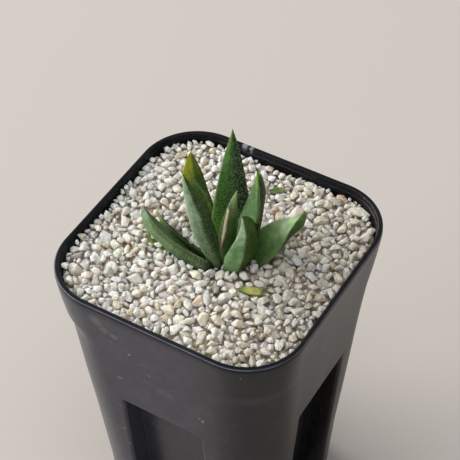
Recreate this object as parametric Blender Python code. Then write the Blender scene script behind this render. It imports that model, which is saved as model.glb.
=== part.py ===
"""A small rosette succulent growing in a square plastic nursery pot, with a
pale gravel top dressing over the growing medium.

Metres, +Z up. The origin is the centre of the pot's base, on the surface that
the pot stands on. The pot's sides face +X, -X, +Y and -Y.
"""

import math

import bmesh
import bpy
from mathutils import Vector

# ---------------------------------------------------------------- dimensions
MM = 0.001

POT_HEIGHT = 130 * MM
RIM_HALF = 45.0 * MM  # half the width across the rolled lip
RIM_RADIUS = 20.8 * MM  # corner radius of the lip, seen from above
LIP_PROUD = 0.6 * MM  # how far the lip stands out from the wall under it
LIP_DROP = 2.2 * MM  # height of the lip
COLLAR_TAPER = 0.083  # inward millimetres per millimetre down, collar
COLLAR_DROP = 16.5 * MM  # depth of the step below the rim
STEP_DROP = 22.5 * MM  # where the step has ended
STEP_HALF = 41.79 * MM  # half width just under the step
BODY_TAPER = 0.0752  # inward millimetres per millimetre down, body
BODY_RADIUS = 19.4 * MM  # corner radius of the body
WALL = 1.3 * MM
INNER_LEDGE_DROP = 1.8 * MM  # the lip is thicker than the wall by this much depth
INNER_LEDGE = 0.5 * MM

CHANNEL_WIDTH = 30 * MM  # one stiffening channel in the middle of each side
CHANNEL_DEPTH = 8.3 * MM
CHANNEL_TOP = 79 * MM  # height of the channel's top edge above the base

FLOOR_TOP = 3.0 * MM
FOOT_RECESS = 1.2 * MM  # the floor is raised by this inside the standing ring
FOOT_HALF = 20.5 * MM
SLOT_WIDTH = 3.4 * MM
SLOT_INNER = 7.0 * MM
SLOT_OUTER = 18.0 * MM
SLOTS = 8

GAP = 0.3 * MM

MIX_TOP = 118 * MM
GRAVEL_LEVEL = 126.2 * MM

ROSETTE = (4.0 * MM, -1.8 * MM)  # axis of the rosette, off the pot's centre
STEM_TOP = 120.6 * MM
STEM_RADIUS = 3.6 * MM
ROOTS = 5

# Each leaf is given by its base (x, y, and height above the pot's base, in mm),
# the compass direction and the slope that it starts with, the slope at its tip,
# how far it turns sideways, its length, greatest width and thickness, how it is
# rolled and twisted about its own axis, and its outline: how full it stays
# towards the tip, how wide its base is and where it is widest. The inner leaves
# come first, and each later one is shaped round those before it.
LEAF_KEYS = (
    "base heading turn turn_bend slope tip_slope bend length width thickness "
    "roll twist fullness base_width widest"
).split()
LEAF_TABLE = {
    "leaf_heart": ((4.2, -2.1, 122.6), 36, 5, 1.9, 92, 74, 1.5, 35.0, 8.4, 2.2, -36, -41, 1.2, 0.65, 0.45),
    "leaf_tall_back": ((3.1, 0.4, 123.4), 113.2, 6.3, 1.42, 65.9, 69.2, 0.74, 45.5, 13.0, 4.4, 9.9, -1.2, 1.59, 0.74, 0.25),
    "leaf_upright_left": ((3.0, -6.0, 124.9), 197.9, -6.3, 2.48, 73.7, 75.8, 1.97, 42.3, 6.9, 4.8, 120.0, 22.2, 1.45, 0.47, 0.46),
    "leaf_back_right": ((5.6, -2.2, 123.7), 61.9, 16.6, 1.60, 65.5, 99.9, 2.41, 39.8, 11.3, 4.4, 13.5, -50.1, 1.92, 0.66, 0.36),
    "leaf_front_short": ((6.7, -3.8, 122.4), 15, 60, 1.7, 71.7, 117, 2.6, 28.6, 12.4, 4.0, -47, -22, 2.2, 0.45, 0.39),
    "leaf_back_left": ((0.1, 0.7, 123.2), 161.4, -42.4, 2.16, 49.2, 81.4, 2.35, 37.7, 9.2, 5.4, 10.7, -21.4, 2.92, 0.54, 0.35),
    "leaf_spreading_right": ((8.7, 0.3, 124.9), 45.1, -69.6, 2.68, 41.8, 83.4, 4.69, 31.4, 12.6, 4.0, 31.4, -56.2, 1.29, 0.59, 0.46),
    "leaf_low_left": ((1.6, -7.0, 126.5), 173.7, 31.8, 1.49, 0.8, 70.1, 1.23, 32.5, 9.4, 5.6, 55.0, -26.0, 3.30, 0.96, 0.55),
    "leaf_behind_left": ((0.6, -3.3, 125.8), 174.1, -12.5, 3.00, -2.3, 34.9, 1.75, 26.6, 6.1, 3.2, 47.3, 4.6, 2.96, 0.82, 0.22),
    "leaf_under_left": ((-7.4, -6.3, 126.1), 172.7, 10.4, 1.33, -7.6, 52.8, 3.85, 18.6, 8.7, 3.2, 23.1, -4.6, 2.43, 0.97, 0.59),
}
# The two ends of old leaves that show between the grains.
OLD_TIPS = {
    "old_leaf_tip_front": ((21.8, -10.1, 127.3), 199, 0, 1.5, 4, -6, 1.0, 8.8, 3.6, 2.2, 10, 0, 2.2, 0.85, 0.30),
    "old_leaf_tip_back": ((1.0, 31.2, 126.75), 40, 0, 1.5, 12, 2, 1.0, 5.6, 2.6, 1.4, 0, 0, 2.2, 0.80, 0.30),
}
STRIP_WIDTH = 1.3 * MM  # the dried edge that has peeled from the heart leaf
STRIP_THICK = 0.5 * MM

COLLECTION = "potted_rosette_succulent"


# ------------------------------------------------------------------- scene
for old in list(bpy.data.objects):
    bpy.data.objects.remove(old, do_unlink=True)

parts = bpy.data.collections.new(COLLECTION)
cutters = bpy.data.collections.new("cutters")
for collection in (parts, cutters):
    bpy.context.scene.collection.children.link(collection)


def material(name, colour, roughness, metallic=0.0):
    """A Principled material."""
    made = bpy.data.materials.new(name)
    made.use_nodes = True
    shader = made.node_tree.nodes["Principled BSDF"]
    shader.inputs["Base Color"].default_value = (*colour, 1.0)
    shader.inputs["Roughness"].default_value = roughness
    shader.inputs["Metallic"].default_value = metallic
    made.diffuse_color = (*colour, 1.0)
    return made


POT_PLASTIC = material("pot_plastic", (0.035, 0.034, 0.036), 0.38)
MIX = material("growing_medium", (0.045, 0.030, 0.020), 0.95)
GRAVEL = material("gravel", (0.62, 0.57, 0.50), 0.80)
STEM_SKIN = material("stem", (0.30, 0.24, 0.13), 0.70)
LEAF_SKIN = material("leaf", (0.060, 0.140, 0.040), 0.48)
LEAF_PALE = material("leaf_pale", (0.30, 0.34, 0.06), 0.50)
DRY = material("dry_leaf", (0.42, 0.30, 0.16), 0.75)


def add_object(name, mesh, where, skin=None, cutter=False):
    made = bpy.data.objects.new(name, mesh)
    where.objects.link(made)
    if skin is not None:
        made.data.materials.append(skin)
    if cutter:
        made.hide_render = True
        made.display_type = "WIRE"
    return made


def mesh_of(bm, name, smooth_angle=None):
    bmesh.ops.recalc_face_normals(bm, faces=bm.faces)
    if bm.calc_volume(signed=True) < 0:
        bmesh.ops.reverse_faces(bm, faces=bm.faces)
    mesh = bpy.data.meshes.new(name)
    bm.to_mesh(mesh)
    bm.free()
    if smooth_angle is not None:
        mesh.shade_smooth()
        mesh.set_sharp_from_angle(angle=math.radians(smooth_angle))
    return mesh


def boolean(target, other, operation="DIFFERENCE", solver="EXACT"):
    cut = target.modifiers.new(f"{operation.lower()}_{other.name}", "BOOLEAN")
    cut.object = other
    cut.operation = operation
    cut.solver = solver
    return cut


def drop_slivers(made, smallest=1e-9):
    """Fixes the shape that the modifiers give, without stray closed scraps that
    are smaller than a cubic millimetre."""
    bpy.context.view_layer.update()
    graph = bpy.context.evaluated_depsgraph_get()
    shaped = bpy.data.meshes.new_from_object(made.evaluated_get(graph))
    made.modifiers.clear()
    bm = bmesh.new()
    bm.from_mesh(shaped)
    bmesh.ops.dissolve_degenerate(bm, edges=bm.edges[:], dist=1e-7)
    bm.faces.index_update()
    seen, scraps = set(), []
    for first in bm.verts:
        if first in seen:
            continue
        island, reach = [], [first]
        seen.add(first)
        while reach:
            vert = reach.pop()
            island.append(vert)
            for edge in vert.link_edges:
                other = edge.other_vert(vert)
                if other not in seen:
                    seen.add(other)
                    reach.append(other)
        volume = 0.0
        for face in {f.index: f for v in island for f in v.link_faces}.values():
            start = face.verts[0].co
            for a, b in zip(face.verts[1:-1], face.verts[2:]):
                volume += start.dot(a.co.cross(b.co)) / 6
        if abs(volume) < smallest:
            scraps += island
    bmesh.ops.delete(bm, geom=scraps, context="VERTS")
    bm.to_mesh(shaped)
    bm.free()
    made.data = shaped
    return made


def loft(bm, rings, start_point=None, end_point=None):
    """Joins rings of equal count into one closed skin. Each end is a flat cap,
    or runs to a point."""
    made = [[bm.verts.new(p) for p in ring] for ring in rings]
    count = len(made[0])
    for low, high in zip(made, made[1:]):
        for i in range(count):
            j = (i + 1) % count
            bm.faces.new((low[i], low[j], high[j], high[i]))
    for ring, point in ((made[0], start_point), (made[-1], end_point)):
        if point is None:
            bm.faces.new(ring)
        else:
            tip = bm.verts.new(point)
            for i in range(count):
                bm.faces.new((ring[i], ring[(i + 1) % count], tip))


def rounded_square(half, radius, z, steps=7):
    """Points round a square with rounded corners, at height z."""
    ring = []
    for quarter in range(4):
        turn = math.pi / 2 * quarter
        cx = (half - radius) * (1 if quarter in (0, 3) else -1)
        cy = (half - radius) * (1 if quarter in (0, 1) else -1)
        for i in range(steps + 1):
            angle = turn + math.pi / 2 * i / steps
            ring.append(
                Vector(
                    (
                        cx + radius * math.cos(angle),
                        cy + radius * math.sin(angle),
                        z,
                    )
                )
            )
    return ring


# -------------------------------------------------------------------- the pot
def body_half(z):
    """Half the width of the pot's outer wall at height z, without the lip."""
    drop = POT_HEIGHT - z
    if drop <= COLLAR_DROP:
        return RIM_HALF - LIP_PROUD - COLLAR_TAPER * drop
    under = STEP_HALF - BODY_TAPER * (drop - STEP_DROP)
    if drop >= STEP_DROP:
        return under
    over = RIM_HALF - LIP_PROUD - COLLAR_TAPER * COLLAR_DROP
    t = (drop - COLLAR_DROP) / (STEP_DROP - COLLAR_DROP)
    ease = t * t * (3 - 2 * t)
    return over + (STEP_HALF - over) * ease


def body_radius(z):
    """Corner radius of the outer wall at height z."""
    drop = POT_HEIGHT - z
    t = min(1.0, drop / COLLAR_DROP)
    return RIM_RADIUS - LIP_PROUD + (BODY_RADIUS - RIM_RADIUS + LIP_PROUD) * t


def wall_rings(inset, bottom, top, extra=()):
    """Rings of the wall, moved in by inset, between two heights."""
    levels = {bottom, top, *extra}
    for drop in (COLLAR_DROP, 18.5 * MM, 20.5 * MM, STEP_DROP, 80 * MM):
        z = POT_HEIGHT - drop
        if bottom < z < top:
            levels.add(z)
    return [
        rounded_square(body_half(z) - inset, body_radius(z) - inset, z)
        for z in sorted(levels)
    ]


def outer_body():
    """The pot as a solid block with its rolled lip."""
    rings = wall_rings(0.0, 0.0, POT_HEIGHT - LIP_DROP - 0.3 * MM)
    # A small round where the wall meets the base.
    rings[0] = rounded_square(body_half(0) - 0.8 * MM, body_radius(0) - 0.8 * MM, 0.0)
    rings.insert(1, rounded_square(body_half(0.8 * MM), body_radius(0), 0.8 * MM))
    for drop, out in (
        (LIP_DROP, -0.1 * MM),
        (LIP_DROP - 0.5 * MM, 0.0),
        (0.7 * MM, 0.0),
        (0.2 * MM, -0.25 * MM),
        (0.0, -0.7 * MM),
    ):
        rings.append(
            rounded_square(RIM_HALF + out, RIM_RADIUS + out, POT_HEIGHT - drop)
        )
    bm = bmesh.new()
    loft(bm, rings)
    return mesh_of(bm, "pot_body", 35)


def channel_box(grow, bottom, name):
    """The space of one side's channel, on the -Y side, made larger by grow. Its
    back wall leans with the side of the pot."""
    bm = bmesh.new()
    bmesh.ops.create_cube(bm, size=1.0)
    top = CHANNEL_TOP + grow
    half = CHANNEL_WIDTH / 2 + grow
    for vert in bm.verts:
        z = top if vert.co.z > 0 else bottom
        if vert.co.y > 0:
            y = -(body_half(z) - CHANNEL_DEPTH - grow)
        else:
            y = -RIM_HALF - 15 * MM
        vert.co = Vector((half if vert.co.x > 0 else -half, y, z))
    return mesh_of(bm, name)


def four_sides(mesh, name):
    """One cutter for each side, sharing a mesh."""
    made = []
    for quarter in range(4):
        box = add_object(f"{name}_{quarter}", mesh, cutters, cutter=True)
        box.rotation_euler = (0, 0, math.pi / 2 * quarter)
        made.append(box)
    return made


pot = add_object("pot", outer_body(), parts, POT_PLASTIC)

cavity_mesh = bmesh.new()
cavity_rings = wall_rings(WALL, FLOOR_TOP, POT_HEIGHT - INNER_LEDGE_DROP)
ledge_z = POT_HEIGHT - INNER_LEDGE_DROP
lip_inset = WALL + 0.35 * MM - INNER_LEDGE
cavity_rings.append(
    rounded_square(
        body_half(ledge_z) - lip_inset, body_radius(ledge_z) - lip_inset, ledge_z + 0.2 * MM
    )
)
cavity_rings.append(
    rounded_square(
        body_half(POT_HEIGHT) - lip_inset,
        body_radius(POT_HEIGHT) - lip_inset,
        POT_HEIGHT + 3 * MM,
    )
)
loft(cavity_mesh, cavity_rings)
cavity = add_object("cavity", mesh_of(cavity_mesh, "cavity"), cutters, cutter=True)
for box in four_sides(channel_box(WALL, -2 * MM, "channel_inner"), "channel_inner"):
    boolean(cavity, box)
boolean(pot, cavity)
for box in four_sides(channel_box(0.0, -5 * MM, "channel"), "channel"):
    boolean(pot, box)

recess_mesh = bmesh.new()
loft(
    recess_mesh,
    [
        rounded_square(FOOT_HALF + 0.8 * MM, 8 * MM, -2 * MM, 5),
        rounded_square(FOOT_HALF, 7.2 * MM, FOOT_RECESS, 5),
    ],
)
boolean(pot, add_object("foot_recess", mesh_of(recess_mesh, "foot_recess"), cutters, cutter=True))


def slot_mesh():
    """A drain slot with round ends, lying along +X."""
    bm = bmesh.new()
    r = SLOT_WIDTH / 2
    outline = []
    for centre, start in ((SLOT_OUTER - r, -90), (SLOT_INNER + r, 90)):
        for i in range(5):
            angle = math.radians(start + 45 * i)
            outline.append((centre + r * math.cos(angle), r * math.sin(angle)))
    loft(
        bm,
        [[Vector((x, y, z)) for x, y in outline] for z in (-1 * MM, FLOOR_TOP + 2 * MM)],
    )
    return mesh_of(bm, "drain_slot")


slot = slot_mesh()
for i in range(SLOTS):
    cutter = add_object(f"drain_slot_{i}", slot, cutters, cutter=True)
    cutter.rotation_euler = (0, 0, 2 * math.pi * (i + 0.5) / SLOTS)
    boolean(pot, cutter)


# ------------------------------------------------------------ stem and roots
def stem_mesh(grow, name):
    """The short thick stem, turned about its own axis."""
    profile = (
        (0.0, STEM_TOP + grow),
        (0.72 * STEM_RADIUS, STEM_TOP + grow),
        (STEM_RADIUS + grow, STEM_TOP - 1.2 * MM + grow),
        (0.95 * STEM_RADIUS + grow, STEM_TOP - 6 * MM),
        (0.70 * STEM_RADIUS + grow, STEM_TOP - 13 * MM),
        (0.30 * STEM_RADIUS + grow, STEM_TOP - 17 * MM - grow),
        (0.0, STEM_TOP - 17.5 * MM - grow),
    )
    bm = bmesh.new()
    rings = []
    for r, z in profile[1:-1]:
        rings.append(
            [
                Vector((r * math.cos(a), r * math.sin(a), z))
                for a in (2 * math.pi * i / 14 for i in range(14))
            ]
        )
    loft(bm, rings, Vector((0, 0, profile[0][1])), Vector((0, 0, profile[-1][1])))
    return mesh_of(bm, name, 50)


def root_mesh(index, grow, name):
    """One thick root, a curve with a bevel that tapers to its end, made a mesh
    so that it can be joined to the stem."""
    curve = bpy.data.curves.new(name, "CURVE")
    curve.dimensions = "3D"
    curve.bevel_depth = 1.0 * MM
    curve.bevel_resolution = 1
    curve.use_fill_caps = True
    spline = curve.splines.new("POLY")
    points = 7
    spline.points.add(points - 1)
    heading = 2 * math.pi * (index + 0.3) / ROOTS
    for i in range(points):
        s = i / (points - 1)
        out = 1.2 * MM + 17 * MM * s
        turn = heading + 0.35 * math.sin(3 * s + index)
        z = STEM_TOP - 9 * MM - (26 + 5 * math.sin(index * 2.1)) * MM * s**1.3
        spline.points[i].co = (out * math.cos(turn), out * math.sin(turn), z, 1)
        spline.points[i].radius = 1.35 - 0.85 * s + grow / (1.0 * MM)
    guide = bpy.data.objects.new(name, curve)
    cutters.objects.link(guide)
    bpy.context.view_layer.update()
    graph = bpy.context.evaluated_depsgraph_get()
    mesh = bpy.data.meshes.new_from_object(guide.evaluated_get(graph))
    bm = bmesh.new()
    bm.from_mesh(mesh)
    bmesh.ops.remove_doubles(bm, verts=bm.verts, dist=0.00002)
    bpy.data.objects.remove(guide, do_unlink=True)
    return mesh_of(bm, name, 50)


def stem_with_roots(name, grow, where, skin, cutter):
    made = add_object(name, stem_mesh(grow, name), where, skin, cutter)
    made.location = (*ROSETTE, 0)
    for i in range(ROOTS):
        root = add_object(
            f"{name}_root_{i}", root_mesh(i, grow, f"{name}_root_{i}"), cutters, cutter=True
        )
        root.location = (*ROSETTE, 0)
        boolean(made, root, "UNION")
    return made


stem = stem_with_roots("stem_and_roots", 0.0, parts, STEM_SKIN, False)
stem_room = stem_with_roots("stem_room", GAP, cutters, None, True)


# ------------------------------------------------------------ growing medium
mix_mesh = bmesh.new()
loft(mix_mesh, wall_rings(WALL + GAP, FLOOR_TOP + GAP, MIX_TOP))
mix = add_object("growing_medium", mesh_of(mix_mesh, "growing_medium", 35), parts, MIX)
for box in four_sides(
    channel_box(WALL + GAP, -2 * MM, "channel_room"), "channel_room"
):
    boolean(mix, box)
boolean(mix, stem_room)


# -------------------------------------------------------------------- leaves
def leaf_width(s, leaf):
    """Half width along the leaf, from its base (0) to its tip (1)."""
    widest = leaf["widest"]
    if s > widest:
        x = (s - widest) / (1 - widest)
        return leaf["width"] / 2 * (1 - x ** leaf["fullness"])
    y = (widest - s) / widest
    return leaf["width"] / 2 * (1 - (1 - leaf["base_width"]) * y * y)


def leaf_frame(leaf, stations):
    """Points along the leaf with their direction, upper normal and side."""
    steps = 48
    place = Vector(leaf["base"])
    found = []
    last = None
    for i in range(steps + 1):
        s = i / steps
        slope = math.radians(
            leaf["slope"] + (leaf["tip_slope"] - leaf["slope"]) * s ** leaf["bend"]
        )
        heading = math.radians(leaf["heading"] + leaf["turn"] * s ** leaf["turn_bend"])
        along = Vector(
            (
                math.cos(slope) * math.cos(heading),
                math.cos(slope) * math.sin(heading),
                math.sin(slope),
            )
        )
        if last is not None:
            place = place + (along + last) / 2 * leaf["length"] / steps
        last = along
        up = Vector(
            (
                -math.sin(slope) * math.cos(heading),
                -math.sin(slope) * math.sin(heading),
                math.cos(slope),
            )
        )
        side = along.cross(up)
        roll = math.radians(leaf["roll"] + leaf["twist"] * s)
        normal = up * math.cos(roll) + side * math.sin(roll)
        side = side * math.cos(roll) - up * math.sin(roll)
        found.append((s, place.copy(), along, normal, side))
    return [found[round(steps * s)] for s in stations]


def leaf_mesh(leaf, name, grow=0.0):
    """A leaf as a loft: a shallow channel along its upper face, a rounded keel
    along its back, and a pointed tip. A grown one is the room that it needs."""
    around = 14
    stations = (0, 1 / 12, 1 / 6, 1 / 4, 1 / 3, 5 / 12, 1 / 2, 7 / 12, 2 / 3, 3 / 4, 5 / 6, 11 / 12, 23 / 24)
    rings = []
    frames = leaf_frame(leaf, stations)
    for index, (s, place, along, normal, side) in enumerate(frames):
        half = leaf_width(s, leaf)
        deep = leaf["thickness"] * (1 - 0.35 * s) * min(1, (1 - s) / 0.25) ** 0.6
        deep = min(deep, 1.1 * half)
        if index == 0:
            place = place - along * grow
        ring = []
        for i in range(around):
            angle = 2 * math.pi * i / around
            c, q = math.cos(angle), math.sin(angle)
            if q > 1e-6:
                y = -0.25 * deep * (1 - c * c) + 0.12 * deep * q
            else:
                y = -deep * (0.55 * abs(q) + 0.45 * (1 - abs(c)))
            x = half * c + grow * c
            ring.append(place + side * x + normal * (y + grow * (q if abs(q) > 1e-6 else 0)))
        rings.append(ring)
    _, tip, along, normal, side = leaf_frame(leaf, (1,))[0]
    bm = bmesh.new()
    loft(bm, rings, end_point=tip + along * grow)
    return mesh_of(bm, name, 60)


def leaf_of(row, pale=False):
    leaf = dict(zip(LEAF_KEYS, row))
    for key in ("length", "width", "thickness"):
        leaf[key] *= MM
    leaf["base"] = tuple(value * MM for value in leaf["base"])
    return leaf


rooms = []
for table, skin in ((LEAF_TABLE, LEAF_SKIN), (OLD_TIPS, LEAF_PALE)):
    for name, row in table.items():
        leaf = leaf_of(row)
        made = add_object(name, leaf_mesh(leaf, name), parts, skin)
        boolean(made, stem_room)
        if table is LEAF_TABLE:
            for room in rooms:
                boolean(made, room)
        room_name = f"{name}_room"
        rooms.append(
            add_object(room_name, leaf_mesh(leaf, room_name, GAP), cutters, cutter=True)
        )


# ------------------------------------------------------- the peeled dry strip
def strip_mesh(name, grow=0.0):
    """A narrow band that stands just off the heart leaf's back."""
    leaf = leaf_of(LEAF_TABLE["leaf_heart"])
    rings = []
    for i, (s, place, along, normal, side) in enumerate(
        leaf_frame(leaf, [STRIP_FROM + (STRIP_TO - STRIP_FROM) * k / 7 for k in range(8)])
    ):
        half = leaf_width(s, leaf)
        t = i / 7
        # It leaves the leaf's edge at both ends and lies closer in between.
        away = 0.72 + 6.65 * max(0.0, 0.52 - s) ** 1.85 + 15.2 * max(0.0, s - 0.55) ** 2.58
        centre = place + side * half * away + normal * STRIP_OFF
        w = STRIP_WIDTH / 2 * (0.55 + 0.45 * math.sin(math.pi * (0.15 + 0.8 * t))) + grow
        h = STRIP_THICK / 2 + grow
        rings.append(
            [
                centre + side * w * math.cos(a) + normal * h * math.sin(a)
                for a in (2 * math.pi * k / 6 for k in range(6))
            ]
        )
    bm = bmesh.new()
    loft(bm, rings)
    return mesh_of(bm, name, 50)


STRIP_FROM = 0.335
STRIP_TO = 0.77
STRIP_OFF = -1.25 * MM
strip = add_object("dry_leaf_edge", strip_mesh("dry_leaf_edge"), parts, DRY)


# ------------------------------------------------------------ gravel dressing
def gravel_height(x, y):
    """Height of the gravel's surface above the pot's base."""
    heap = 0.9 * MM * math.exp(-((x - 0.010) ** 2 + (y + 0.014) ** 2) / 0.0006)
    rise = (
        1.7 * MM * min(1.0, max(0.0, -x / 0.043)) ** 2
        + 0.7 * MM * min(1.0, max(0.0, -y / 0.043)) ** 2
        - 0.005 * y
    )
    ripple = 0.35 * MM * (
        math.sin(520 * x + 1.3) * math.cos(470 * y + 0.4)
        + 0.6 * math.sin(830 * x - 610 * y)
    )
    back = 1.0 * MM * min(1.0, max(0.0, y / 0.043)) ** 2
    return GRAVEL_LEVEL + heap + rise + back + ripple


def gravel_mesh():
    inset = WALL + GAP
    low = MIX_TOP + GAP
    half, radius = body_half(low) - inset, body_radius(low) - inset
    rings = [rounded_square(half, radius, low)]
    top_half = body_half(GRAVEL_LEVEL) - inset
    top_radius = body_radius(GRAVEL_LEVEL) - inset
    steps = 9
    for i in range(steps):
        f = 1 - i / steps
        ring = rounded_square(top_half * f, top_radius * f, 0)
        for point in ring:
            point.z = gravel_height(point.x, point.y)
        rings.append(ring)
    bm = bmesh.new()
    loft(bm, rings, None, Vector((0, 0, gravel_height(0, 0))))
    return mesh_of(bm, "gravel_dressing", 60)


gravel = add_object("gravel_dressing", gravel_mesh(), parts, GRAVEL)
boolean(gravel, stem_room, solver="MANIFOLD")
for room in rooms:
    boolean(gravel, room, solver="MANIFOLD")
drop_slivers(gravel)
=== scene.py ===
"""The looks of a small rosette succulent in a square plastic nursery pot with a
pale gravel top dressing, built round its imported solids.

Lengths are in metres unless a name or a comment says millimetres. The leaves
repeat the solids' own leaf table, so each stands just where its solid stands.
"""

import math

import bmesh
import bpy
import numpy as np
from mathutils import Matrix, Vector
from mathutils.bvhtree import BVHTree


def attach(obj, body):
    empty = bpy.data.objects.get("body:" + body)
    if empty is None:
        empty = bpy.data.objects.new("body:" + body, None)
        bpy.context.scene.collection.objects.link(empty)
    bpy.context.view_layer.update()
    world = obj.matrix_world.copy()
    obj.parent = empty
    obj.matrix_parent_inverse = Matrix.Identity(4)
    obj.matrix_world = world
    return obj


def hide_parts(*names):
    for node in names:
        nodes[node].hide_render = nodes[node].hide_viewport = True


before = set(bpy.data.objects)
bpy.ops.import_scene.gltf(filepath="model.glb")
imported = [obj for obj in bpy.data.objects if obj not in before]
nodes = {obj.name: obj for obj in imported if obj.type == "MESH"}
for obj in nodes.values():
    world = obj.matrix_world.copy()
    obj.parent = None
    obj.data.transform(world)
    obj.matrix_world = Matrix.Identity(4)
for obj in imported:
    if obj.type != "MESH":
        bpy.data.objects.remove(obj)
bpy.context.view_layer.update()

MM = 0.001
POT_HEIGHT = 130.0
RIM_HALF = 45.0
RIM_RADIUS = 20.8
LIP_PROUD = 0.6
COLLAR_TAPER = 0.083
COLLAR_DROP = 16.5
STEP_DROP = 22.5
STEP_HALF = 41.79
BODY_TAPER = 0.0752
BODY_RADIUS = 19.4
WALL = 1.3
CHANNEL_TOP = 79.0
CHANNEL_HALF = 15.0
CHANNEL_DEPTH = 8.3
FLOOR_TOP = 3.0
GRAVEL_LEVEL = 126.2

LEAF_KEYS = (
    "base heading turn turn_bend slope tip_slope bend length width thickness "
    "roll twist fullness base_width widest"
).split()
LEAF_TABLE = {
    "leaf_heart": ((4.2, -2.1, 122.6), 36, 5, 1.9, 92, 74, 1.5, 35.0, 8.4, 2.2, -36, -41, 1.2, 0.65, 0.45),
    "leaf_tall_back": ((3.1, 0.4, 123.4), 113.2, 6.3, 1.42, 65.9, 69.2, 0.74, 45.5, 13.0, 4.4, 9.9, -1.2, 1.59, 0.74, 0.25),
    "leaf_upright_left": ((3.0, -6.0, 124.9), 197.9, -6.3, 2.48, 73.7, 75.8, 1.97, 42.3, 6.9, 4.8, 120.0, 22.2, 1.45, 0.47, 0.46),
    "leaf_back_right": ((5.6, -2.2, 123.7), 61.9, 16.6, 1.60, 65.5, 99.9, 2.41, 39.8, 11.3, 4.4, 13.5, -50.1, 1.92, 0.66, 0.36),
    "leaf_front_short": ((6.7, -3.8, 122.4), 15, 60, 1.7, 71.7, 117, 2.6, 28.6, 12.4, 4.0, -47, -22, 2.2, 0.45, 0.39),
    "leaf_back_left": ((0.1, 0.7, 123.2), 161.4, -42.4, 2.16, 49.2, 81.4, 2.35, 37.7, 9.2, 5.4, 10.7, -21.4, 2.92, 0.54, 0.35),
    "leaf_spreading_right": ((8.7, 0.3, 124.9), 45.1, -69.6, 2.68, 41.8, 83.4, 4.69, 31.4, 12.6, 4.0, 31.4, -56.2, 1.29, 0.59, 0.46),
    "leaf_low_left": ((1.6, -7.0, 126.5), 173.7, 31.8, 1.49, 0.8, 70.1, 1.23, 32.5, 9.4, 5.6, 55.0, -26.0, 3.30, 0.96, 0.55),
    "leaf_behind_left": ((0.6, -3.3, 125.8), 174.1, -12.5, 3.00, -2.3, 34.9, 1.75, 26.6, 6.1, 3.2, 47.3, 4.6, 2.96, 0.82, 0.22),
    "leaf_under_left": ((-7.4, -6.3, 126.1), 172.7, 10.4, 1.33, -7.6, 52.8, 3.85, 18.6, 8.7, 3.2, 23.1, -4.6, 2.43, 0.97, 0.59),
}
OLD_TIPS = {
    "old_leaf_tip_front": ((21.8, -10.1, 127.3), 199, 0, 1.5, 4, -6, 1.0, 8.8, 3.6, 2.2, 10, 0, 2.2, 0.85, 0.30),
    "old_leaf_tip_back": ((1.0, 31.2, 126.75), 40, 0, 1.5, 12, 2, 1.0, 5.6, 2.6, 1.4, 0, 0, 2.2, 0.80, 0.30),
}


# ------------------------------------------------------------ small helpers
def hash01(*keys):
    """Numbers in 0..1 that depend only on the integer keys."""
    h = np.zeros(np.broadcast(*keys).shape, np.uint64) + np.uint64(0x9E3779B97F4A7C15)
    for k in keys:
        k = np.asarray(k, np.int64).astype(np.uint64)
        h = (h ^ k) * np.uint64(0xBF58476D1CE4E5B9)
        h = h ^ (h >> np.uint64(29))
        h = h * np.uint64(0x94D049BB133111EB)
        h = h ^ (h >> np.uint64(32))
    return (h >> np.uint64(11)).astype(np.float64) / float(1 << 53)


def value_noise(p, seed=0):
    """Smooth noise in -1..1 at points p (n, 3)."""
    base = np.floor(p).astype(np.int64)
    f = p - base
    f = f * f * (3 - 2 * f)
    out = np.zeros(len(p))
    for dx in (0, 1):
        for dy in (0, 1):
            for dz in (0, 1):
                w = (
                    (f[:, 0] if dx else 1 - f[:, 0])
                    * (f[:, 1] if dy else 1 - f[:, 1])
                    * (f[:, 2] if dz else 1 - f[:, 2])
                )
                out += w * hash01(base[:, 0] + dx, base[:, 1] + dy, base[:, 2] + dz, np.int64(seed))
    return out * 2 - 1


def fractal(p, octaves=3, seed=0):
    total = np.zeros(len(p))
    size = 1.0
    for i in range(octaves):
        total += size * value_noise(p * 2.03**i + 17.3 * i, seed + i)
        size *= 0.5
    return total


def smooth(a, b, x):
    t = np.clip((x - a) / (b - a), 0, 1)
    return t * t * (3 - 2 * t)


def mesh_object(name, verts_mm, faces, skin, replaces=(), smooth_faces=True, attributes=None):
    """A mesh from points in millimetres, riding on the only body there is."""
    mesh = bpy.data.meshes.new(name)
    verts = np.asarray(verts_mm, np.float64) * MM
    mesh.from_pydata(verts.tolist(), [], faces if isinstance(faces, list) else faces.tolist())
    mesh.update()
    bm = bmesh.new()
    bm.from_mesh(mesh)
    if bm.calc_volume(signed=True) < 0:
        bmesh.ops.reverse_faces(bm, faces=bm.faces)
        bm.to_mesh(mesh)
    bm.free()
    if smooth_faces:
        mesh.shade_smooth()
    for key, values in (attributes or {}).items():
        values = np.asarray(values, np.float32)
        if values.ndim == 2:
            layer = mesh.color_attributes.new(key, "FLOAT_COLOR", "POINT")
            full = np.ones((len(verts), 4), np.float32)
            full[:, :3] = values
            layer.data.foreach_set("color", full.ravel())
        else:
            layer = mesh.attributes.new(key, "FLOAT", "POINT")
            layer.data.foreach_set("value", values)
    made = bpy.data.objects.new(name, mesh)
    bpy.context.scene.collection.objects.link(made)
    made.data.materials.append(skin)
    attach(made, "root")
    if replaces:
        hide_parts(*replaces)
    return made


def skin_of_rings(count, around, closed=True):
    """Quads that join count rings of around points each."""
    i = np.arange(count - 1)[:, None]
    j = np.arange(around if closed else around - 1)[None, :]
    k = (j + 1) % around
    return np.stack(
        [i * around + j, i * around + k, (i + 1) * around + k, (i + 1) * around + j], -1
    ).reshape(-1, 4)


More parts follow.
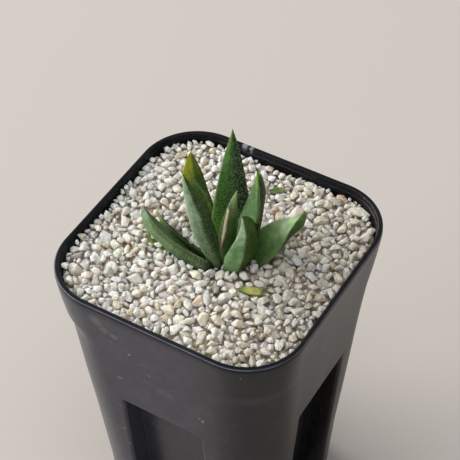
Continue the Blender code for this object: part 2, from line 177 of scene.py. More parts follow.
# ---------------------------------------------------------------- materials
class Nodes:
    """A short way to write node trees."""

    def __init__(self, name):
        self.material = bpy.data.materials.new(name)
        self.material.use_nodes = True
        self.tree = self.material.node_tree
        self.tree.nodes.clear()
        self.out = self.tree.nodes.new("ShaderNodeOutputMaterial")
        self.shader = self.tree.nodes.new("ShaderNodeBsdfPrincipled")
        self.tree.links.new(self.shader.outputs[0], self.out.inputs[0])

    def add(self, kind, settings=None, **inputs):
        node = self.tree.nodes.new(kind)
        for key, value in (settings or {}).items():
            setattr(node, key, value)
        for key, value in inputs.items():
            self.put(node, key.replace("_", " "), value)
        return node

    def put(self, node, key, value):
        socket = node.inputs[int(key)] if key.isdigit() else node.inputs[key]
        if isinstance(value, bpy.types.NodeSocket):
            self.tree.links.new(value, socket)
        elif isinstance(value, (tuple, list)) and len(value) == 3 and socket.type == "RGBA":
            socket.default_value = (*value, 1)
        else:
            socket.default_value = value

    def place(self):
        return self.add("ShaderNodeTexCoord").outputs["Object"]

    def noise(self, vector, scale, detail=3, roughness=0.55, out="Fac", distortion=0.0):
        node = self.add("ShaderNodeTexNoise", Scale=scale, Detail=float(detail), Roughness=roughness, Distortion=distortion)
        self.put(node, "Vector", vector)
        return node.outputs[out]

    def voronoi(self, vector, scale, feature="F1", out="Distance", randomness=1.0):
        node = self.add("ShaderNodeTexVoronoi", {"feature": feature}, Scale=scale, Randomness=randomness)
        self.put(node, "Vector", vector)
        return node.outputs[out]

    def ramp(self, value, *stops):
        """A curve from value to grey or colour; stops are (place, grey or rgb)."""
        node = self.add("ShaderNodeValToRGB")
        self.put(node, "Fac", value)
        band = node.color_ramp.elements
        while len(band) < len(stops):
            band.new(0.5)
        for element, (place, level) in zip(band, stops):
            element.position = place
            element.color = (*level, 1) if isinstance(level, tuple) else (level, level, level, 1)
        return node.outputs["Color"]

    def math(self, operation, a, b=0.5, clamp=False):
        node = self.add("ShaderNodeMath", {"operation": operation, "use_clamp": clamp})
        self.put(node, "0", a)
        self.put(node, "1", b)
        return node.outputs[0]

    def mix(self, fac, a, b, blend="MIX"):
        node = self.add("ShaderNodeMix", {"data_type": "RGBA", "blend_type": blend})
        self.put(node, "0", fac)
        for key, value in (("6", a), ("7", b)):
            self.put(node, key, value)
        return node.outputs[2]

    def scale(self, vector, x, y, z):
        node = self.add("ShaderNodeMapping")
        self.put(node, "Vector", vector)
        node.inputs["Scale"].default_value = (x, y, z)
        return node.outputs[0]

    def attribute(self, name, out="Color"):
        return self.add("ShaderNodeAttribute", {"attribute_name": name}).outputs[out]

    def bump(self, height, strength, distance, normal=None):
        node = self.add("ShaderNodeBump", Strength=strength, Distance=distance)
        self.put(node, "Height", height)
        if normal is not None:
            self.put(node, "Normal", normal)
        return node.outputs[0]

    def set(self, **inputs):
        for key, value in inputs.items():
            self.put(self.shader, key.replace("_", " "), value)
        return self


# Scuffs and specks on the front wall: place (mm), size (mm), turn, how ragged,
# how pale.
SCUFFS = (
    ((-20.0, -44.0, 123.2), (2.6, 3.6), 25, True, 0.13),
    ((-17.4, -43.8, 119.6), (2.4, 2.4), -10, True, 0.11),
    ((-14.0, -43.5, 118.2), (2.0, 1.6), 0, True, 0.15),
    ((-9.0, -42.9, 111.3), (0.9, 0.6), 10, True, 0.45),
    ((-10.6, -42.9, 112.6), (2.6, 0.20), 22, False, 0.12),
    ((-4.0, -42.5, 108.4), (7.0, 0.22), 21, False, 0.09),
    ((-2.1, -41.5, 103.8), (0.30, 0.30), 0, True, 0.75),
    ((17.0, -40.5, 90.4), (0.40, 1.5), -28, False, 0.40),
    ((15.8, -40.5, 91.4), (0.9, 0.5), 10, True, 0.25),
    ((-15.1, -40.7, 93.0), (1.5, 0.24), 30, False, 0.28),
    ((-15.1, -40.7, 93.6), (2.0, 0.7), 30, True, 0.10),
    ((-16.9, -38.3, 61.1), (0.6, 0.5), 0, True, 0.30),
    ((-15.9, -37.6, 52.1), (0.5, 1.0), 20, True, 0.28),
    ((28.7, -40.9, 95.5), (0.35, 0.30), 0, True, 0.30),
    ((6.0, -41.5, 101.0), (3.2, 0.20), 21, False, 0.12),
    ((3.0, -41.2, 97.0), (5.0, 3.0), 0, True, 0.06),
    ((-16.1, 43.0, 130.0), (1.3, 2.0), 0, True, 0.55),
    ((-13.4, 43.0, 130.0), (0.9, 2.0), 0, True, 0.45),
)


def scuff_at(m, p, place, size, turn, noise):
    """1 inside a small ragged ellipse on the front wall, 0 outside."""
    centre = m.add("ShaderNodeVectorMath", {"operation": "SUBTRACT"})
    m.put(centre, "0", p)
    m.put(centre, "1", tuple(v * MM for v in place))
    turned = m.add("ShaderNodeVectorRotate", {"rotation_type": "Y_AXIS"}, Angle=math.radians(turn))
    m.put(turned, "Vector", centre.outputs[0])
    sized = m.scale(turned.outputs[0], 1000 / size[0], 1000 / 9.0, 1000 / size[1])
    far = m.add("ShaderNodeVectorMath", {"operation": "LENGTH"})
    m.put(far, "0", sized)
    ragged = m.math("ADD", far.outputs["Value"], m.math("MULTIPLY", m.math("SUBTRACT", noise, 0.5), 1.6))
    return m.ramp(ragged, (0.45, 1.0), (1.0, 0.0))


def pot_material():
    m = Nodes("pot_plastic_satin")
    p = m.place()
    broad = m.noise(p, 22, 3)
    fine = m.noise(p, 900, 3)
    smear = m.noise(m.scale(p, 60, 60, 14), 1.0, 4)
    dust_and_reflection_noise = m.noise(p, 160, 6, 0.7)
    speck = m.voronoi(p, 260)
    speck_mask = m.ramp(speck, (0.0, 1.0), (0.05, 0.8), (0.09, 0.0))
    where = m.ramp(m.noise(p, 75, 2), (0.52, 0.0), (0.68, 1.0))
    speck_mask = m.math("MULTIPLY", speck_mask, where)
    scratch = m.noise(m.scale(p, 45, 45, 420), 1.0, 5, 0.75, distortion=0.6)
    scratch = m.ramp(scratch, (0.64, 0.0), (0.70, 1.0))
    scuff = m.math("MULTIPLY", scratch, m.ramp(broad, (0.45, 0.0), (0.62, 1.0)))
    split = m.add("ShaderNodeSeparateXYZ")
    m.put(split, "Vector", p)
    base = m.mix(m.ramp(smear, (0.35, 0.0), (0.75, 1.0)), (0.0068, 0.0070, 0.0082), (0.0118, 0.0120, 0.0138))
    # A pale bluish film on the flat of the front wall is partly dust and partly a painted reflection, so the flat reads
    # lighter than the corners.
    below = m.ramp(split.outputs["Z"], (0.1283, 1.0), (0.1291, 0.0))
    forward = m.math("MULTIPLY", split.outputs["Y"], -1.0)
    front = m.math("MULTIPLY", m.ramp(forward, (0.0225, 0.0), (0.0300, 1.0)), m.ramp(split.outputs["X"], (0.012, 1.0), (0.031, 0.0)))
    front = m.math("MULTIPLY", front, below)
    front_dust_and_reflection = m.math("MULTIPLY", front, m.ramp(dust_and_reflection_noise, (0.20, 0.55), (0.80, 1.0)))
    base = m.mix(m.math("MULTIPLY", front_dust_and_reflection, 0.62), base, (0.092, 0.091, 0.116))
    # The brown film on the right wall is a painted reflection of warm surroundings, broken up by the dust noise.
    side = m.math("MULTIPLY", m.ramp(split.outputs["X"], (0.030, 0.0), (0.038, 1.0)), m.ramp(m.math("ADD", split.outputs["Y"], 0.060), (0.024, 0.0), (0.044, 1.0)))
    side = m.math("MULTIPLY", side, below)
    side = m.math("MULTIPLY", side, m.ramp(dust_and_reflection_noise, (0.20, 0.5), (0.80, 1.0)))
    base = m.mix(m.math("MULTIPLY", side, 0.36), base, (0.092, 0.066, 0.047))
    base = m.mix(m.math("MULTIPLY", m.math("MULTIPLY", m.ramp(dust_and_reflection_noise, (0.48, 0.0), (0.78, 1.0)), below), 0.10), base, (0.16, 0.145, 0.125))
    base = m.mix(m.math("MULTIPLY", scuff, 0.16), base, (0.17, 0.17, 0.18))
    base = m.mix(m.math("MULTIPLY", speck_mask, 0.75), base, (0.52, 0.50, 0.47))
    rag = m.noise(p, 1100, 4, 0.7)
    streaky = m.noise(m.scale(p, 700, 700, 1900), 1.0, 4, 0.7)
    for place, size, turn, noise, strength in SCUFFS:
        mask = scuff_at(m, p, place, size, turn, rag if noise else streaky)
        base = m.mix(m.math("MULTIPLY", mask, strength), base, (0.44, 0.44, 0.48))
    # A pale bluish band along the rim's outer rounded edge is a painted highlight.
    facing = m.add("ShaderNodeNewGeometry")
    aim = m.add("ShaderNodeSeparateXYZ")
    m.put(aim, "Vector", facing.outputs["Normal"])
    outwards = m.add("ShaderNodeVectorMath", {"operation": "DOT_PRODUCT"})
    m.put(outwards, "0", facing.outputs["Normal"])
    m.put(outwards, "1", m.scale(p, 1.0, 1.0, 0.0))
    worn = m.math("MULTIPLY", m.ramp(aim.outputs["Z"], (0.25, 0.0), (0.45, 1.0), (0.70, 1.0), (0.90, 0.0)), m.ramp(outwards.outputs["Value"], (0.004, 0.0), (0.010, 1.0)))
    worn = m.math("MULTIPLY", worn, m.ramp(split.outputs["Z"], (0.1285, 0.0), (0.1290, 1.0)))
    worn = m.math("MULTIPLY", worn, m.ramp(m.noise(p, 260, 4, 0.6), (0.30, 0.45), (0.70, 1.0)))
    base = m.mix(m.math("MULTIPLY", worn, 0.80), base, (0.25, 0.26, 0.33))
    rough = m.add("ShaderNodeMapRange", To_Min=0.19, To_Max=0.31)
    m.put(rough, "Value", smear)
    height = m.math("ADD", m.math("MULTIPLY", fine, 0.25), m.math("MULTIPLY", broad, 1.0))
    height = m.math("ADD", height, m.math("MULTIPLY", speck_mask, 0.8))
    height = m.math("SUBTRACT", height, m.math("MULTIPLY", scuff, 0.25))
    level = m.math("ADD", rough.outputs[0], m.math("MULTIPLY", side, 0.12))
    m.set(Base_Color=base, Roughness=level, Normal=m.bump(height, 0.35, 0.00025))
    m.shader.inputs["Specular IOR Level"].default_value = 0.20
    m.shader.inputs["Specular Tint"].default_value = (0.84, 0.87, 1.0, 1)
    return m.material


def gravel_material():
    m = Nodes("gravel_quartz")
    p = m.place()
    tint = m.attribute("tint")
    seed = m.attribute("seed", "Fac")
    shift = m.add("ShaderNodeCombineXYZ")
    for axis, factor in (("X", 3.1), ("Y", 7.7), ("Z", 5.3)):
        m.put(shift, axis, m.math("MULTIPLY", seed, factor))
    moved = m.add("ShaderNodeVectorMath", {"operation": "ADD"})
    m.put(moved, "0", p)
    m.put(moved, "1", shift.outputs[0])
    q = moved.outputs[0]
    cloud = m.noise(q, 620, 4, 0.6)
    vein = m.noise(m.scale(q, 1.0, 1.7, 0.6), 900, 5, 0.7, distortion=1.2)
    grit = m.noise(q, 5200, 3, 0.6)
    colour = m.mix(m.ramp(cloud, (0.35, 0.0), (0.70, 1.0)), tint, m.mix(0.5, tint, (0.86, 0.82, 0.755)))
    stain = m.math("MULTIPLY", m.ramp(vein, (0.56, 0.0), (0.72, 1.0)), 0.42)
    colour = m.mix(stain, colour, m.mix(0.5, tint, (0.42, 0.30, 0.18)))
    grey = m.math("MULTIPLY", m.ramp(vein, (0.26, 1.0), (0.40, 0.0)), 0.35)
    colour = m.mix(grey, colour, m.mix(0.5, tint, (0.42, 0.41, 0.40)))
    fleck = m.ramp(m.noise(q, 2600, 2, 0.5), (0.70, 0.0), (0.76, 1.0))
    colour = m.mix(m.math("MULTIPLY", fleck, 0.35), colour, (0.16, 0.12, 0.09))
    rough = m.add("ShaderNodeMapRange", To_Min=0.45, To_Max=0.85)
    m.put(rough, "Value", cloud)
    height = m.math("ADD", m.math("MULTIPLY", grit, 0.35), m.math("MULTIPLY", vein, 1.0))
    chip = m.voronoi(q, 1150)
    height = m.math("ADD", height, m.math("MULTIPLY", chip, 1.3))
    m.set(Base_Color=colour, Roughness=rough.outputs[0], Normal=m.bump(height, 0.75, 0.00032))
    m.shader.inputs["Subsurface Weight"].default_value = 0.85
    m.shader.inputs["Subsurface Radius"].default_value = (0.0030, 0.0025, 0.0019)
    m.shader.inputs["Subsurface Scale"].default_value = 1.0
    m.shader.inputs["Specular IOR Level"].default_value = 0.22
    return m.material


def bed_material():
    m = Nodes("gravel_bed")
    p = m.place()
    cell = m.add("ShaderNodeTexVoronoi", {"feature": "F1"}, Scale=380.0)
    m.put(cell, "Vector", p)
    # Painted shade: the lower gravel gets darker, browner tones than the grains above and dark lines round its cells,
    # for the shade in the hollows between grains.
    edge = m.ramp(cell.outputs["Distance"], (0.15, 1.0), (0.6, 0.0))
    split = m.add("ShaderNodeSeparateColor")
    m.put(split, "Color", cell.outputs["Color"])
    colour = m.ramp(split.outputs[0], (0.0, (0.40, 0.30, 0.20)), (0.5, (0.58, 0.48, 0.36)), (1.0, (0.76, 0.69, 0.58)))
    colour = m.mix(edge, colour, m.mix(0.75, colour, (0.20, 0.14, 0.09)))
    colour = m.mix(m.math("MULTIPLY", m.noise(p, 2400, 4), 0.25), colour, (0.22, 0.16, 0.11))
    m.set(Base_Color=colour, Normal=m.bump(m.math("ADD", edge, m.noise(p, 1500, 3)), 0.8, 0.0006))
    m.shader.inputs["Roughness"].default_value = 0.92
    return m.material


def leaf_material(name, rough=(0.36, 0.52), sheen=0.0, subsurface=0.16, bump=0.35):
    """Leaf skin: the mesh carries its own tint and where its tubercles are."""
    m = Nodes(name)
    p = m.place()
    tint = m.attribute("tint")
    tubercle = m.attribute("tubercle", "Fac")
    mottle = m.noise(p, 420, 4, 0.6)
    cells = m.voronoi(p, 3600)
    pores = m.noise(p, 5200, 3, 0.6)
    dark = m.mix(1.0, tint, (0.56, 0.62, 0.52), "MULTIPLY")
    light = m.mix(1.0, tint, (1.22, 1.20, 1.20), "MULTIPLY")
    colour = m.mix(m.ramp(mottle, (0.30, 0.0), (0.72, 1.0)), dark, light)
    colour = m.mix(m.math("MULTIPLY", tubercle, 0.34), colour, m.mix(0.36, tint, (0.46, 0.58, 0.34)))
    colour = m.mix(m.math("MULTIPLY", m.ramp(cells, (0.0, 1.0), (0.30, 0.0)), 0.05), colour, (0.40, 0.52, 0.30))
    spots = m.math("MULTIPLY", m.ramp(m.noise(p, 1500, 2), (0.70, 0.0), (0.78, 1.0)), 0.25)
    colour = m.mix(spots, colour, m.mix(1.0, tint, (0.35, 0.35, 0.30), "MULTIPLY"))
    warts = m.ramp(m.voronoi(p, 1750, randomness=1.0), (0.10, 1.0), (0.52, 0.0))
    warts = m.math("MULTIPLY", warts, m.attribute("warts", "Fac"))
    colour = m.mix(warts, colour, m.mix(0.30, tint, (0.54, 0.66, 0.42)))
    level = m.add("ShaderNodeMapRange", To_Min=rough[0], To_Max=rough[1])
    m.put(level, "Value", m.noise(p, 900, 3))
    height = m.math("ADD", m.math("MULTIPLY", pores, 0.5), m.math("MULTIPLY", cells, -0.5))
    height = m.math("ADD", height, m.math("MULTIPLY", warts, 0.9))
    m.set(Base_Color=colour, Roughness=level.outputs[0], Normal=m.bump(height, bump, 0.00016))
    m.shader.inputs["Subsurface Weight"].default_value = subsurface
    m.shader.inputs["Subsurface Radius"].default_value = (0.0007, 0.0014, 0.0003)
    m.shader.inputs["Subsurface Scale"].default_value = 1.0
    m.shader.inputs["Specular IOR Level"].default_value = 0.27
    return m.material


def dry_material():
    m = Nodes("dry_leaf_papery")
    p = m.place()
    tint = m.attribute("tint")
    streak = m.noise(m.scale(p, 3800, 3800, 500), 1.0, 4, 0.7)
    fine = m.noise(p, 4200, 4, 0.6)
    colour = m.mix(m.ramp(streak, (0.30, 0.0), (0.72, 1.0)), m.mix(0.22, tint, (0.24, 0.15, 0.07)), tint)
    colour = m.mix(m.math("MULTIPLY", m.ramp(fine, (0.58, 0.0), (0.76, 1.0)), 0.35), colour, (0.70, 0.58, 0.42))
    level = m.add("ShaderNodeMapRange", To_Min=0.60, To_Max=0.90)
    m.put(level, "Value", fine)
    m.set(Base_Color=colour, Roughness=level.outputs[0], Normal=m.bump(m.math("ADD", streak, fine), 0.6, 0.00018))
    return m.material


def medium_material():
    m = Nodes("growing_medium_mix")
    p = m.place()
    chunk = m.add("ShaderNodeTexVoronoi", {"feature": "F1"}, Scale=420.0)
    m.put(chunk, "Vector", p)
    split = m.add("ShaderNodeSeparateColor")
    m.put(split, "Color", chunk.outputs["Color"])
    fibre = m.noise(m.scale(p, 300, 900, 300), 1.0, 5, 0.7)
    colour = m.ramp(split.outputs[1], (0.0, (0.020, 0.013, 0.008)), (0.6, (0.075, 0.048, 0.030)), (0.9, (0.15, 0.10, 0.06)), (0.97, (0.60, 0.57, 0.50)))
    colour = m.mix(m.ramp(fibre, (0.40, 0.0), (0.75, 0.7)), colour, (0.035, 0.022, 0.014))
    height = m.math("ADD", m.math("MULTIPLY", chunk.outputs["Distance"], -1.0), fibre)
    level = m.add("ShaderNodeMapRange", To_Min=0.80, To_Max=1.0)
    m.put(level, "Value", fibre)
    m.set(Base_Color=colour, Roughness=level.outputs[0], Normal=m.bump(height, 0.9, 0.0012))
    return m.material


def stem_material():
    m = Nodes("stem_fibrous")
    p = m.place()
    streak = m.noise(m.scale(p, 900, 900, 160), 1.0, 5, 0.65)
    fine = m.noise(p, 2600, 4, 0.6)
    colour = m.ramp(streak, (0.25, (0.16, 0.11, 0.05)), (0.55, (0.36, 0.28, 0.15)), (0.85, (0.52, 0.44, 0.28)))
    colour = m.mix(m.math("MULTIPLY", m.ramp(fine, (0.58, 0.0), (0.72, 1.0)), 0.5), colour, (0.09, 0.06, 0.035))
    level = m.add("ShaderNodeMapRange", To_Min=0.60, To_Max=0.85)
    m.put(level, "Value", fine)
    m.set(Base_Color=colour, Roughness=level.outputs[0], Normal=m.bump(m.math("ADD", streak, fine), 0.6, 0.0005))
    return m.material


def floor_material():
    m = Nodes("floor_plain")
    p = m.place()
    tone = m.noise(p, 3.0, 3)
    grain = m.noise(p, 260, 3)
    colour = m.mix(m.math("MULTIPLY", tone, 0.25), (0.562, 0.518, 0.480), (0.546, 0.504, 0.465))
    level = m.add("ShaderNodeMapRange", To_Min=0.80, To_Max=0.92)
    m.put(level, "Value", grain)
    m.set(Base_Color=colour, Roughness=level.outputs[0], Normal=m.bump(grain, 0.08, 0.0004))
    m.shader.inputs["Specular IOR Level"].default_value = 0.2
    return m.material


POT = pot_material()
GRAVEL = gravel_material()
BED = bed_material()
LEAF = leaf_material("leaf_skin_rough")
LEAF_SMOOTH = leaf_material("leaf_skin_smooth", (0.34, 0.48), subsurface=0.20, bump=0.22)
LEAF_AGED = leaf_material("leaf_skin_aged", (0.42, 0.60), subsurface=0.25, bump=0.30)
DRY = dry_material()
MEDIUM = medium_material()
STEM = stem_material()
FLOOR = floor_material()

for name, skin in (("growing_medium", MEDIUM), ("stem_and_roots", STEM)):
    node = nodes[name]
    if node.data.materials:
        node.data.materials[0] = skin
    else:
        node.data.materials.append(skin)


# ---------------------------------------------------------------------- pot
def body_half(z):
    drop = POT_HEIGHT - z
    if drop <= COLLAR_DROP:
        return RIM_HALF - LIP_PROUD - COLLAR_TAPER * drop
    if drop >= STEP_DROP:
        return STEP_HALF - BODY_TAPER * (drop - STEP_DROP)
    over = RIM_HALF - LIP_PROUD - COLLAR_TAPER * COLLAR_DROP
    t = (drop - COLLAR_DROP) / (STEP_DROP - COLLAR_DROP)
    return over + (STEP_HALF - over) * t * t * (3 - 2 * t)


def body_radius(z):
    t = min(1.0, (POT_HEIGHT - z) / COLLAR_DROP)
    return RIM_RADIUS - LIP_PROUD + (BODY_RADIUS - RIM_RADIUS + LIP_PROUD) * t


def side_half(a, radius, depth, wide, outer_round, inner_round):
    """Half of one side, from its middle to the corner's middle: distance along
    the side and distance out. depth is how far the channel goes in here."""
    need = outer_round + inner_round
    k = min(1.0, depth / need) if need > 0 else 1.0
    ro, ri = outer_round * k, inner_round * k
    pts = []
    for i in range(6):
        pts.append(((wide - inner_round) * i / 6, a - depth))
    walls = []
    for i in range(6):
        t = math.pi / 2 * i / 5
        walls.append((wide - ri + ri * math.sin(t), a - depth + ri - ri * math.cos(t)))
    for i in range(1, 4):
        walls.append((wide, a - depth + ri + (depth - ri - ro) * i / 4))
    for i in range(7):
        t = math.pi / 2 * i / 6
        walls.append((wide + ro - ro * math.cos(t), a - ro + ro * math.sin(t)))
    spread = smooth(0.0, 1.0, depth / 2.0)
    for i, (x, y) in enumerate(walls):
        even = wide - inner_round + (inner_round + outer_round) * i / (len(walls) - 1)
        pts.append((even + (x - even) * spread, y))
    start = wide + outer_round
    flat = max(a - radius - start, 0.2)
    for i in range(1, 6):
        pts.append((start + flat * i / 5, a))
    for i in range(1, 15):
        t = math.pi / 4 * i / 14
        pts.append((start + flat + radius * math.sin(t), a - radius + radius * math.cos(t)))
    return pts


def pot_ring(a, radius, depth, z, wide=CHANNEL_HALF, outer_round=1.3, inner_round=0.12):
    radius = min(radius, a - wide - outer_round - 0.25)
    half = side_half(a, radius, depth, wide, outer_round, inner_round)
    full = [(-x, y) for x, y in reversed(half[1:-1])] + half[:]
    ring = []
    for quarter in range(4):
        angle = -math.pi / 2 + math.pi / 2 * quarter
        out = (math.cos(angle), math.sin(angle))
        along = (-out[1], out[0])
        for x, y in full:
            ring.append((along[0] * x + out[0] * y, along[1] * x + out[1] * y, z))
    return ring


def channel_levels(top, deep, outer_round, inner_round):
    """Heights and depths where the channel closes at its top, going up."""
    levels = []
    for i in range(6):
        t = math.pi / 2 * i / 5
        levels.append((top - inner_round + inner_round * math.sin(t), deep - inner_round + inner_round * math.cos(t)))
    for i in range(1, 5):
        levels.append((top + 0.02 * i, deep - inner_round - (deep - inner_round - outer_round) * i / 5))
    for i in range(7):
        t = math.pi / 2 * i / 6
        levels.append((top + 0.1 + outer_round - outer_round * math.cos(t), outer_round - outer_round * math.sin(t)))
    return levels


def wall_at(z):
    """Half width and corner radius of the outer wall with its step, and the
    half width that it has where the step runs out, up to the rim's edge."""
    near = np.array([body_half(z + d) for d in np.linspace(-1.5, 1.5, 7)]).mean() if 90 < z < 122 else body_half(z)
    t = float(np.clip((z - 110.0) / 18.5, 0, 1)) ** 1.6
    rise = max(0.0, z - 79.5)
    even = body_half(79.5) + BODY_TAPER * rise + (RIM_HALF - body_half(79.5) - BODY_TAPER * 49.0) * (rise / 49.0) ** 2
    return near * (1 - t) + RIM_HALF * t, body_radius(z) * (1 - t) + RIM_RADIUS * t, (even if z > 79.5 else near)


def build_pot():
    rings = []
    top_levels = channel_levels(CHANNEL_TOP, CHANNEL_DEPTH, 1.1, 0.12)
    for z, back in ((0.0, 0.75), (0.06, 0.5), (0.22, 0.25), (0.5, 0.07), (0.8, 0.0)):
        rings.append(pot_ring(body_half(z) - back, body_radius(z) - back, CHANNEL_DEPTH - 0.5 * back, z))
    for z in np.linspace(2.5, 77.0, 26):
        rings.append(pot_ring(body_half(z), body_radius(z), CHANNEL_DEPTH, z))
    for z, depth in top_levels:
        rings.append(pot_ring(body_half(z), body_radius(z), depth, z))
    for z in list(np.linspace(80.5, 105.0, 12)) + list(np.linspace(106.0, 114.5, 18)) + list(np.linspace(115.3, 128.3, 17)):
        half, radius, _ = wall_at(z)
        rings.append(pot_ring(half, radius, 0.0, z))
    outer_count = len(rings)
    # The lip: out under its lower edge, up its side, over its top and down inside.
    lip = [(128.6, 0.0), (128.9, 0.0), (129.3, -0.02)]
    for i in range(1, 8):
        t = math.pi / 2 * i / 7
        lip.append((129.45 + 0.55 * math.sin(t), -0.55 * (1 - math.cos(t)) - 0.02))
    lip += [(130.0, -0.85), (130.0, -1.15)]
    for i in range(1, 7):
        t = math.pi / 2 * i / 6
        lip.append((129.6 + 0.4 * math.cos(t), -1.35 - 0.4 * math.sin(t)))
    lip += [(129.1, -1.77), (128.6, -1.80), (128.3, -1.86), (128.15, -2.0), (128.05, -2.10)]
    for z, out in lip:
        rings.append(pot_ring(RIM_HALF + out, RIM_RADIUS + out * 0.97, 0.0, z))
    for z in (127.0, 125.0, 122.0, 118.0, 115.0, 113.5, 112.5, 111.5, 110.5, 109.5, 108.5, 107.5, 106.0, 100.0, 90.0, 82.5):
        rings.append(pot_ring(body_half(z) - WALL, body_radius(z) - WALL, 0.0, z, CHANNEL_HALF + WALL))
    for z, depth in reversed(channel_levels(CHANNEL_TOP + WALL, CHANNEL_DEPTH, 0.8, 0.9)):
        rings.append(pot_ring(body_half(z) - WALL, body_radius(z) - WALL, depth, z, CHANNEL_HALF + WALL))
    for z in np.linspace(76.0, FLOOR_TOP, 8):
        rings.append(pot_ring(body_half(z) - WALL, body_radius(z) - WALL, CHANNEL_DEPTH, z, CHANNEL_HALF + WALL))
    around = len(rings[0])
    pts = np.array(rings, float).reshape(-1, 3)
    # The step under the collar is crisp round the corners and runs out softly
    # along the sides.
    outer = pts[: outer_count * around]
    made_at = np.array([wall_at(v) for v in outer[::around, 2]]).repeat(around, 0)
    q = np.maximum(np.abs(outer[:, :2]) - (made_at[:, 0] - made_at[:, 1])[:, None], 0)
    normal = np.sign(outer[:, :2]) * q / np.maximum(np.linalg.norm(q, axis=1, keepdims=True), 1e-9)
    corner = np.abs(normal[:, 0] + normal[:, 1]) / math.sqrt(2)
    fade = 1 - 0.92 * smooth(0.80, 0.97, corner)
    outer[:, :2] += normal * ((made_at[:, 2] - made_at[:, 0]) * (outer[:, 2] > 79.5) * fade)[:, None]
    # Moulded walls are never quite flat.
    wave = 0.10 * fractal(pts * np.array([0.055, 0.055, 0.035]), 2, 5)
    calm = smooth(130.2, 124.0, pts[:, 2]) * 0.85 + 0.15
    flat = pts[:, :2] / np.maximum(np.linalg.norm(pts[:, :2], axis=1, keepdims=True), 1e-6)
    pts[:, :2] += flat * (wave * calm)[:, None]
    faces = skin_of_rings(len(rings), around).tolist()
    faces.append(list(range(around))[::-1])
    last = (len(rings) - 1) * around
    faces.append([last + i for i in range(around)])
    made = mesh_object("pot_shell", pts, faces, POT, ("pot",))
    # The raised floor inside the standing ring, and the drain slots.
    bm = bmesh.new()

    def prism(outline_low, outline_high):
        low = [bm.verts.new(p) for p in outline_low]
        high = [bm.verts.new(p) for p in outline_high]
        n = len(low)
        bm.faces.new(low[::-1])
        bm.faces.new(high)
        for i in range(n):
            bm.faces.new((low[i], low[(i + 1) % n], high[(i + 1) % n], high[i]))

    def square(half, radius, z, steps=8):
        ring = []
        for quarter in range(4):
            for i in range(steps + 1):
                a = math.pi / 2 * (quarter + i / steps)
                cx = (half - radius) * (1 if quarter in (0, 3) else -1)
                cy = (half - radius) * (1 if quarter in (0, 1) else -1)
                ring.append(Vector(((cx + radius * math.cos(a)) * MM, (cy + radius * math.sin(a)) * MM, z * MM)))
        return ring

    prism(square(21.3, 8.0, -2.0), square(20.5, 7.2, 1.2))
    recess_mesh = bpy.data.meshes.new("recess")
    bm.to_mesh(recess_mesh)
    bm.free()
    bm = bmesh.new()
    for k in range(8):
        turn = 2 * math.pi * (k + 0.5) / 8
        rows = []
        for z in (-1.0, FLOOR_TOP + 2.0):
            row = []
            for centre, start in ((16.3, -90), (8.7, 90)):
                for i in range(9):
                    a = math.radians(start + 22.5 * i)
                    x, y = centre + 1.7 * math.cos(a), 1.7 * math.sin(a)
                    row.append(
                        Vector(((x * math.cos(turn) - y * math.sin(turn)) * MM, (x * math.sin(turn) + y * math.cos(turn)) * MM, z * MM))
                    )
            rows.append(row)
        prism(*rows)
    slots_mesh = bpy.data.meshes.new("slots")
    bm.to_mesh(slots_mesh)
    bm.free()
    cutters = []
    for key, mesh in (("recess", recess_mesh), ("slots", slots_mesh)):
        cutter = bpy.data.objects.new(key, mesh)
        bpy.context.scene.collection.objects.link(cutter)
        cutters.append(cutter)
        cut = made.modifiers.new(key, "BOOLEAN")
        cut.object = cutter
        cut.operation = "DIFFERENCE"
        cut.solver = "EXACT"
    bpy.context.view_layer.update()
    graph = bpy.context.evaluated_depsgraph_get()
    done = bpy.data.meshes.new_from_object(made.evaluated_get(graph))
    made.modifiers.clear()
    made.data = done
    for cutter in cutters:
        bpy.data.objects.remove(cutter, do_unlink=True)
    done.shade_smooth()
    done.set_sharp_from_angle(angle=math.radians(42))
    if not done.materials:
        done.materials.append(POT)
    return made


pot = build_pot()


# ------------------------------------------------------------------- leaves
def leaf_of(row):
    return dict(zip(LEAF_KEYS, row))


def leaf_axis(leaf, s):
    """Points along the leaf (mm), its direction, upper normal and side."""
    fine = np.linspace(0, 1, 241)
    slope = np.radians(leaf["slope"] + (leaf["tip_slope"] - leaf["slope"]) * fine ** leaf["bend"])
    heading = np.radians(leaf["heading"] + leaf["turn"] * fine ** leaf["turn_bend"])
    along = np.stack([np.cos(slope) * np.cos(heading), np.cos(slope) * np.sin(heading), np.sin(slope)], 1)
    step = leaf["length"] / (len(fine) - 1)
    place = np.concatenate([[[0, 0, 0]], np.cumsum((along[1:] + along[:-1]) / 2 * step, 0)]) + np.array(leaf["base"])
    up = np.stack([-np.sin(slope) * np.cos(heading), -np.sin(slope) * np.sin(heading), np.cos(slope)], 1)
    side = np.cross(along, up)
    roll = np.radians(leaf["roll"] + leaf["twist"] * fine)[:, None]
    normal = up * np.cos(roll) + side * np.sin(roll)
    across = side * np.cos(roll) - up * np.sin(roll)

    def at(values):
        return np.stack([np.interp(s, fine, values[:, i]) for i in range(3)], 1)

    return at(place), at(along), at(normal), at(across)


def leaf_half(s, leaf):
    w = leaf["widest"]
    x = np.clip((s - w) / (1 - w), 0, 1)
    y = np.clip((w - s) / w, 0, 1)
    return leaf["width"] / 2 * np.where(s > w, 1 - x ** leaf["fullness"], 1 - (1 - leaf["base_width"]) * y * y)


